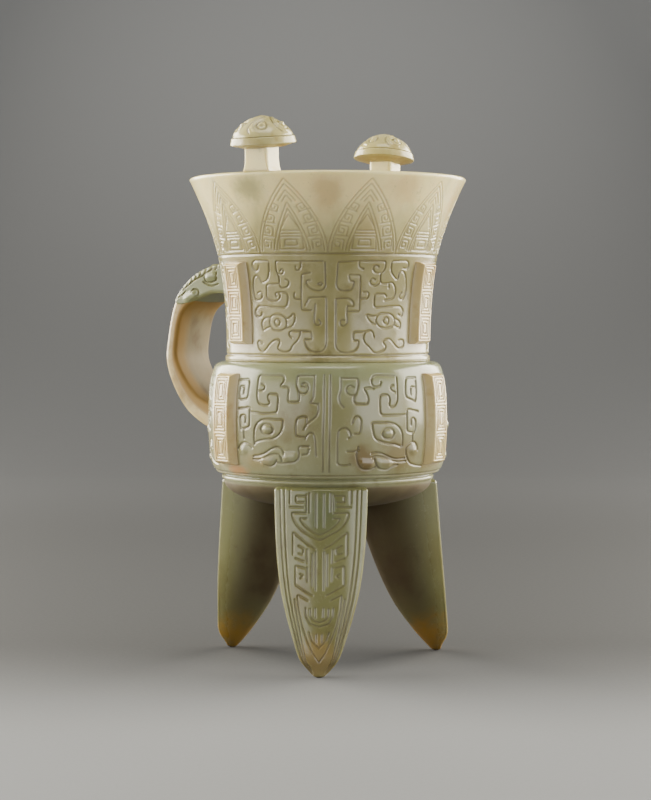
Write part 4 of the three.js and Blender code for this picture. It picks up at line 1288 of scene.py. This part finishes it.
for family, (radius, low, length) in FLANGES.items():
    high = low + length
    levels = np.concatenate([[low, low + 0.25], np.linspace(low + 0.5, high - 0.5, 250), [high - 0.25, high]])
    rings = np.array([flange_ring(radius, low, length, z) for z in levels])
    unit = (length - 2 * FLANGE_ENDS) / 3
    strokes = []
    for index in range(3):
        middle = low + FLANGE_ENDS + unit * (index + 0.5)
        strokes += [rectangle(width, unit - gap, middle) for width, gap in zip(NEST, (1.0, 3.0, 5.0))]
    strokes[-2:] = [placed(square_spiral(4.1, unit - 3.0, 1.0, 2), 0, middle)]
    for side, bearing in FLANGE_BEARINGS.items():
        def on_face(points):
            z = points[:, 1]
            return turned_by(np.column_stack([radius(z) + FLANGE_HEIGHT, points[:, 0], z]), bearing)
        name = f"{family}_{side}"
        item = skin(f"{name}_skin", turned_by(rings, bearing), russet_jade)
        lines = stroke_object("flange_lines", strokes, on_face, reach=0)
        carve(item, lines, 0.66, 0.3, russet_jade)
        settle(item)
        x, y, z = points_of(item).T
        rise = np.hypot(x, y) - radius(z)
        tint(item, "foot", ramp(0.42 - rise / FLANGE_HEIGHT) * 0.5)
        dress(item, name)

# %% [markdown]
# The handle is an animal's head that holds a strap in its jaws. Both follow one line in an upright
# plane, from the neck out and down to the belly. The strap is a smooth band with eased corners and
# a round ridge where it leaves the mouth. The head is deep and wide: a crest of short cuts runs
# down its back, the eye is a raised block with a curl under it, and the jaw ends in a spiral.

# %% Handle line
HANDLE_REACH, HANDLE_WIDTH, STRAP = 58.0, 22.0, 4.3
HANDLE_TOP, HANDLE_ROOT, TOP_DEPTH, ROOT_DEPTH = 132.4, 76.0, 11.3, 8.0
top_middle, root_middle = HANDLE_TOP - TOP_DEPTH / 2, HANDLE_ROOT + ROOT_DEPTH / 2
strap_reach = HANDLE_REACH - STRAP / 2
handle_line = spline([
    (NECK_RADIUS - 1, top_middle + 0.4),
    (lerp(NECK_RADIUS, strap_reach, 0.4), top_middle - 1.3),
    (lerp(NECK_RADIUS, strap_reach, 0.82), lerp(root_middle, top_middle, 0.815)),
    (strap_reach - 0.6, lerp(root_middle, top_middle, 0.575)),
    (strap_reach - 0.7, lerp(root_middle, top_middle, 0.363)),
    (lerp(BELLY_RADIUS, strap_reach, 0.5), lerp(root_middle, top_middle, 0.11)),
    (BELLY_RADIUS - 3, root_middle - 1.6),
], 1201)
handle_shares = np.linspace(0, 1, len(handle_line))
handle_along = np.gradient(handle_line, axis=0)
handle_along /= np.linalg.norm(handle_along, axis=1)[:, None]
HANDLE_LENGTH = float(np.hypot(*np.diff(handle_line, axis=0).T).sum())


def handle_depth(share):
    """How thick the handle is: deep in the head, thin in the strap, deep again at the root."""
    top = (TOP_DEPTH - STRAP) * (1 - ramp(share / 0.44))
    return STRAP + top + (ROOT_DEPTH - STRAP) * ramp((share - 0.5) / 0.5)


def handle_half(share):
    """Half the width of the handle, which narrows a little downwards."""
    return HANDLE_WIDTH / 2 * (1 - 0.06 * ramp(share))


def on_handle(share, out, aside):
    """A point of the handle: its share of the line, its distance out from it, and its side."""
    share = np.clip(share, 0, 1)
    x, z, tx, tz = (
        np.interp(share, handle_shares, column) for column in np.hstack([handle_line, handle_along]).T
    )
    points = np.stack([x - tz * out, np.broadcast_to(aside, np.shape(x)), z + tx * out], -1)
    return turned_by(points, 180)


def rounded_box(half_out, half_aside, corner, flat_out, flat_aside, per_corner=6, crown=0.0):
    """A box with round corners as (out, aside) points; the outer and inner faces may be crowned."""
    points = []
    for out_sign, side_sign, start in ((1, 1, 0), (-1, 1, 90), (-1, -1, 180), (1, -1, 270)):
        for c, s in map(cos_sin, np.linspace(start, start + 90, per_corner)):
            out, aside = out_sign * (half_out - corner), side_sign * (half_aside - corner)
            points.append((out + corner * c, aside + corner * s))
        last = points[-1]
        if (start // 90) % 2 == 0:
            goal, count = (-last[0], last[1]), flat_out
        else:
            goal, count = (last[0], -last[1]), flat_aside
        points += [tuple(lerp(np.array(last), np.array(goal), s)) for s in np.linspace(0, 1, count + 2)[1:-1]]
    points = np.array(points)
    bulge = crown * (1 - (points[:, 1] / half_aside) ** 2)
    points[:, 0] += np.sign(points[:, 0]) * bulge * (np.abs(points[:, 0]) > half_out - corner)
    return points


def handle_rings(first, end, steps, flat_out, flat_aside, crown, swell):
    """Rings along the handle. end says where each depth of the section stops, swell how it grows."""
    rings = []
    for step in steps:
        middle, grow = lerp(first, end(0.0), step), swell(step)
        half_out = float(handle_depth(middle)) / 2 - crown + grow
        box = rounded_box(half_out, float(handle_half(middle)) + grow, 1.2, flat_out, flat_aside, crown=crown)
        share = lerp(first, end(box[:, 0] / half_out), step)
        out = box[:, 0] * handle_depth(share) / handle_depth(middle)
        rings.append(on_handle(share, out, box[:, 1]))
    return np.array(rings)


# %% Strap
STRAP_FROM, STRAP_TO = 0.2, 0.985


def strap_end(depth):
    """The strap stops at the same share of the line at every depth."""
    return STRAP_TO + 0 * depth


def on_strap(points):
    """Lays (distance aside, distance along) just over the outer face of the strap."""
    return on_handle(points[:, 1] / HANDLE_LENGTH, STRAP / 2 + 0.6, points[:, 0])


strap_rings = handle_rings(STRAP_FROM, strap_end, np.linspace(0, 1, 170), 6, 30, 0.25, lambda step: 0.0)
strap = skin("strap", strap_rings[::-1], russet_jade)
ridge = stroke_object("strap_ridge", [[(-8.5, 26.6), (8.5, 26.6)]], on_strap)
carve(strap, ridge, 3.4, -0.55, russet_jade, mark="raised")
settle(strap)
x, y, z = points_of(strap).T
inside = ramp((reach_at(handle_line[::-1], z) + x) / 1.5 + 0.2)
near_side = np.maximum(ramp((-2.5 - y) / 5), ramp((z - 112) / 7))
# The strap's inner face is painted dark as shade, a little less towards its near side and its top.
tint(strap, "raw", (0.85 - 0.25 * near_side) * inside)
# Along the near side and the upper part of the inner face, the ochre mark paints an amber glow of light
# coming through the thin stone.
tint(strap, "foot", 1.5 * inside * near_side)
dress(strap, "handle")

# %% The animal's head
JAW_END, JAW_ROUND, JAW_SWELL, BROW_CROWN, LIP_START = 24.0, 5.5, 0.45, 0.5, 0.965


def head_end(depth):
    """Where the jaws stop along the line: further out on the back than at the throat."""
    back = np.clip((depth + 1) / 2, 0, 1)
    return (JAW_END - JAW_ROUND * (1 - back) ** 3.5) / HANDLE_LENGTH


def head_swell(along):
    """The cheeks stand a little proud of the strap, fullest at the jaws."""
    return JAW_SWELL * ramp((np.asarray(along) - 8) / 8)


def head_ring_swell(step):
    """How far a ring of the head stands out; the last few turn in to round the lip."""
    lip = max(0.0, (step - LIP_START) / (1 - LIP_START))
    return float(head_swell(step * JAW_END)) - 0.6 * (1 - math.sqrt(1 - min(1.0, lip) ** 2))


def on_brow(points):
    """Lays (distance aside, distance along) on the outer face of the head."""
    share = points[:, 1] / HANDLE_LENGTH
    rise = head_swell(points[:, 1]) - BROW_CROWN * (points[:, 0] / handle_half(share)) ** 2
    return on_handle(share, handle_depth(share) / 2 + rise, points[:, 0])


def on_cheek(side):
    """Lays (distance along, share of the depth from -4 to 4) on one side of the head."""
    def lay(points):
        share = points[:, 0] / HANDLE_LENGTH
        aside = side * (handle_half(share) + head_swell(points[:, 0]))
        return on_handle(share, handle_depth(share) / 2 * points[:, 1] / 4, aside)
    return lay


cheek = drawing("""
17.7,-1.2 17.4,-0.5 16.8,-0.2 15.9,-0.1 15,-0.6 14.5,-1.3 14.6,-2.1 15.3,-2.8 16.5,-3.3 17.8,-3.5 19.2,-3.6;
11.4,0.2 10.3,-0.9 8.6,-1.6 7,-1.6 5.3,-1.3;
10.2,2.2 10.6,0.3 10,-0.4 8.1,-0.7 5.9,-0.4 5.6,1.6;
3.9,2.8 5.5,2.8 7.6,2.6 9.5,2.2 11,1.9 13,2.1 15.2,2.2 17.4,2.4 19.3,2.6 21.5,3.3;
22.7,3 21.5,2 19.9,1.4 18.8,1.5;
""")
crest = [[(along, 2.4), (along - 1.1, 3.5)] for along in np.arange(6.0, 22.0, 1.9)]
brow = drawing("""
2.2,5.2 4.6,3.6 7.8,3.4 10.2,5;
5,8 6,6.2 8.2,5.8 9.9,7.4 9.6,9.6 7.6,10.6 5.6,9.9 5,8;
1.7,2.6 1.4,8.5 2.2,13.5 4.2,16 7.2,16.6 9.2,18.4 8.4,20.8 6.2,21.6 4.4,20.4 4.8,18.8 6.4,18.6;
2,21.9 2.9,19.6 2.6,17.4 1.3,16.2;
3.2,11.6 5.6,12.6 8.4,12.4;
3.4,13.2 5.8,14.2 8.8,14;
""")
brow += [[(9.0, along), (10.6, along - 0.9)] for along in np.arange(11.5, 20.0, 1.4)]
brow_raised = [[(7.4, 8.0), (7.5, 8.4)], [(6.4, 19.6), (6.8, 19.4)]]
nose_raised = [[(0.0, 3.0), (0.0, 19.0)]]
cheek_raised = [[(8.9, 0.9), (7.0, 0.9)], [(17.2, -1.8), (19.6, -1.2)]]


def head_strokes(name, over_brow, over_cheek):
    """Strokes on the brow and, the same, on both cheeks."""
    return joined(name, [stroke_object(f"{name}_brow", over_brow, on_brow)] + [
        stroke_object(f"{name}_cheek", over_cheek, on_cheek(side)) for side in (1, -1)
    ])


head_lines = head_strokes("head_lines", brow + mirrored(brow), cheek + crest)
head_raised = head_strokes("head_raised", brow_raised + mirrored(brow_raised) + nose_raised, cheek_raised)
head_steps = np.concatenate([
    np.linspace(0, LIP_START, 190), LIP_START + (1 - LIP_START) * np.sin(np.linspace(0, math.pi / 2, 12)[1:])
])
head_rings = handle_rings(0.02, head_end, head_steps, 60, 110, BROW_CROWN, head_ring_swell)
head = skin("animal_head", head_rings[::-1], celadon_jade)
carve(head, head_raised, 4.4, -0.6, celadon_jade, mark="raised")
carve(head, head_lines, 0.85, 0.42, celadon_jade)
settle(head)
dress(head, "handle_head")

# %% [markdown]
# Two posts stand on the rim. Each is a square shaft with soft arrises, whose foot spreads over the
# lip, is hollowed a little on each face, and runs down inside the wall. On top sits a mushroom cap:
# a hollowed underside, a slanting band, a groove, and a dome with five bosses. Round each boss
# curls a comma, a ridge with a groove behind it, and together they make a whorl.

# %% Posts
POST_BEARINGS = {"front_post": -90.0, "back_post": 91.3}
POST_SIDE, POST_HEIGHT, POST_REACH, POST_LEAN = 8.6, 6.9, 41.4, 3.0
lean = math.tan(math.radians(POST_LEAN))
post_sizes = spline([(share, RIM + level) for share, level in (
    (0.5, -7.5), (0.85, -4.0), (1.05, -1.2), (1.15, 0.1), (1.09, 0.8), (1.03, 1.7), (0.99, 3.4), (0.98, 5.0),
    (0.99, POST_HEIGHT), (0.99, POST_HEIGHT + 1.6),
)])


def post_ring(z):
    """One level of a post, cut off where it would stand past the lip or the wall."""
    half = POST_SIDE / 2 * float(reach_at(post_sizes, z))
    box = rounded_box(half, half, 0.3 * half, 12, 12, per_corner=9)
    middle = 1 - (np.abs(box).min(1) / half) ** 2
    hollow = 0.1 * middle * ramp(1 - abs(z - RIM - 0.2) / 1.5)
    box = box * (1 - hollow[:, None])
    edge = RIM_RADIUS - EDGE if z > RIM else float(neck_radius(z)) - 0.8
    reach = np.minimum(POST_REACH + box[:, 0], edge) + (z - RIM) * lean
    return np.column_stack([reach, box[:, 1], np.full(len(box), z)])


post_rings = np.array([post_ring(z) for z in np.linspace(RIM - 7.4, RIM + POST_HEIGHT + 1.5, 90)])
for name, bearing in POST_BEARINGS.items():
    item = skin(f"{name}_shaft", turned_by(post_rings, bearing), cream_jade)
    tint(item, "foot", 0.7 * ramp(1 - np.abs(points_of(item)[:, 2] - RIM) / 0.9))
    dress(item, name)

# %% Caps
CAP_RADIUS, CAP_BAND, CAP_DOME, DOME_CURVE, CAP_UNDER = 10.5, 2.4, 6.6, 1.33, 1.5
CAP_TILT, CAP_INSET, JOINT, DOME_RADIUS, ROUND = 7.0, 1.2, 0.3, CAP_RADIUS - 0.9, 240
WHORL_TURNS = {"front_post": 30.0, "back_post": 244.7}
cap_outline = [(0.05, 0.35), (3.5, 0.35), (5.0, 0.3), (6.6, 0.45), (8.4, 0.95), (9.8, 1.35)]
cap_outline += [(CAP_RADIUS - 0.12, CAP_UNDER - 0.02), (CAP_RADIUS, CAP_UNDER + 0.15)]
cap_outline += [(CAP_RADIUS - 0.02 - 0.42 * s, CAP_UNDER + 0.35 + 1.75 * s) for s in np.linspace(0, 1, 9)]
cap_outline += [(CAP_RADIUS - inset, CAP_UNDER + level) for inset, level in (
    (0.56, 2.24), (0.85, 2.3), (1.3, 2.32), (1.34, 2.42), (1.05, 2.52),
)]
cap_outline += [
    (max(DOME_RADIUS * c**DOME_CURVE, 0.05), CAP_UNDER + CAP_BAND + CAP_DOME * s**DOME_CURVE)
    for c, s in map(cos_sin, np.linspace(3, 90, 76))
]
cap_outline = np.array(cap_outline)


def dome_height(radius):
    """How high the dome's skin lies at a radius."""
    c = np.clip(radius / DOME_RADIUS, 0, 1) ** (1 / DOME_CURVE)
    return CAP_UNDER + CAP_BAND + CAP_DOME * np.sqrt(1 - c * c) ** DOME_CURVE


def cap_place(bearing):
    """Lays cap points, given about the middle of the underside, on their post."""
    def lay(points):
        c, s = cos_sin(CAP_TILT)
        x, y, z = np.moveaxis(points, -1, 0)
        reach = POST_REACH + POST_HEIGHT * lean - CAP_INSET
        up = RIM + POST_HEIGHT + CAP_INSET * math.tan(math.radians(CAP_TILT)) + JOINT / c
        return turned_by(np.stack([reach + c * x + s * z, y, up - s * x + c * z], -1), bearing)
    return lay


def on_dome(place):
    """Lays (bearing in degrees, radius) on the dome."""
    def lay(points):
        turn, radius = np.radians(points[:, 0]), points[:, 1]
        return place(np.column_stack([radius * np.cos(turn), radius * np.sin(turn), dome_height(radius)]))
    return lay


def whorl(turn, marks):
    """The same marks five times round the dome."""
    return [[(turn + 72 * k + across, radius) for across, radius in mark] for mark in marks for k in range(5)]


BOSS = [[(-1.0, 6.5), (1.0, 6.5)]]
CRESCENT = [[(16, 3.3), (2, 3.7), (-12, 4.3), (-22, 5.2), (-26, 6.4), (-24, 7.6), (-16, 8.6), (-6, 9.0)]]
BEHIND = [
    [(20, 2.2), (0, 2.7), (-20, 3.4), (-33, 4.7), (-37, 6.3), (-35, 7.9), (-28, 9.0)],
    [(9, 5.0), (0, 5.0), (-10, 5.6), (-14, 6.7), (-9, 7.9), (0, 8.3), (9, 7.9), (13, 6.9), (13, 5.9),
     (9, 5.0)],
]
for name, bearing in POST_BEARINGS.items():
    place = cap_place(bearing)
    angles = np.linspace(0, 2 * math.pi, ROUND + 1)[:-1]
    rings = np.array([
        np.column_stack([r * np.cos(angles), r * np.sin(angles), np.full(ROUND, z)]) for r, z in cap_outline
    ])
    item = skin(f"{name}_cap_skin", place(rings), cap_jade)
    under = np.repeat(ramp((CAP_UNDER + 0.1 - cap_outline[:, 1]) / 0.4), ROUND)
    groove = np.repeat(ramp(1 - np.abs(cap_outline[:, 1] - CAP_UNDER - 2.38) / 0.2), ROUND)
    tint(item, "foot", np.concatenate([under, [1, 0]]))
    tint(item, "cut", np.concatenate([groove, [0, 0]]))
    for label, marks, width, depth, mark in (
        ("bosses", BOSS, 2.6, -0.6, "raised"), ("ridges", CRESCENT, 1.5, -0.24, "raised"),
        ("grooves", BEHIND, 0.9, 0.26, "cut"),
    ):
        lines = stroke_object(label, whorl(WHORL_TURNS[name], marks), on_dome(place), pitch=0.6)
        carve(item, lines, width, depth, cap_jade, mark)
    settle(item)
    dress(item, f"{name}_cap")

# %% [markdown]
# The strokes and outlines have done their work and go. The carved pieces keep to the box of the CAD model,
# because a carver only takes stone away.

# %% Finish
for item in list(board.objects):
    bpy.data.objects.remove(item)
bpy.data.collections.remove(board)
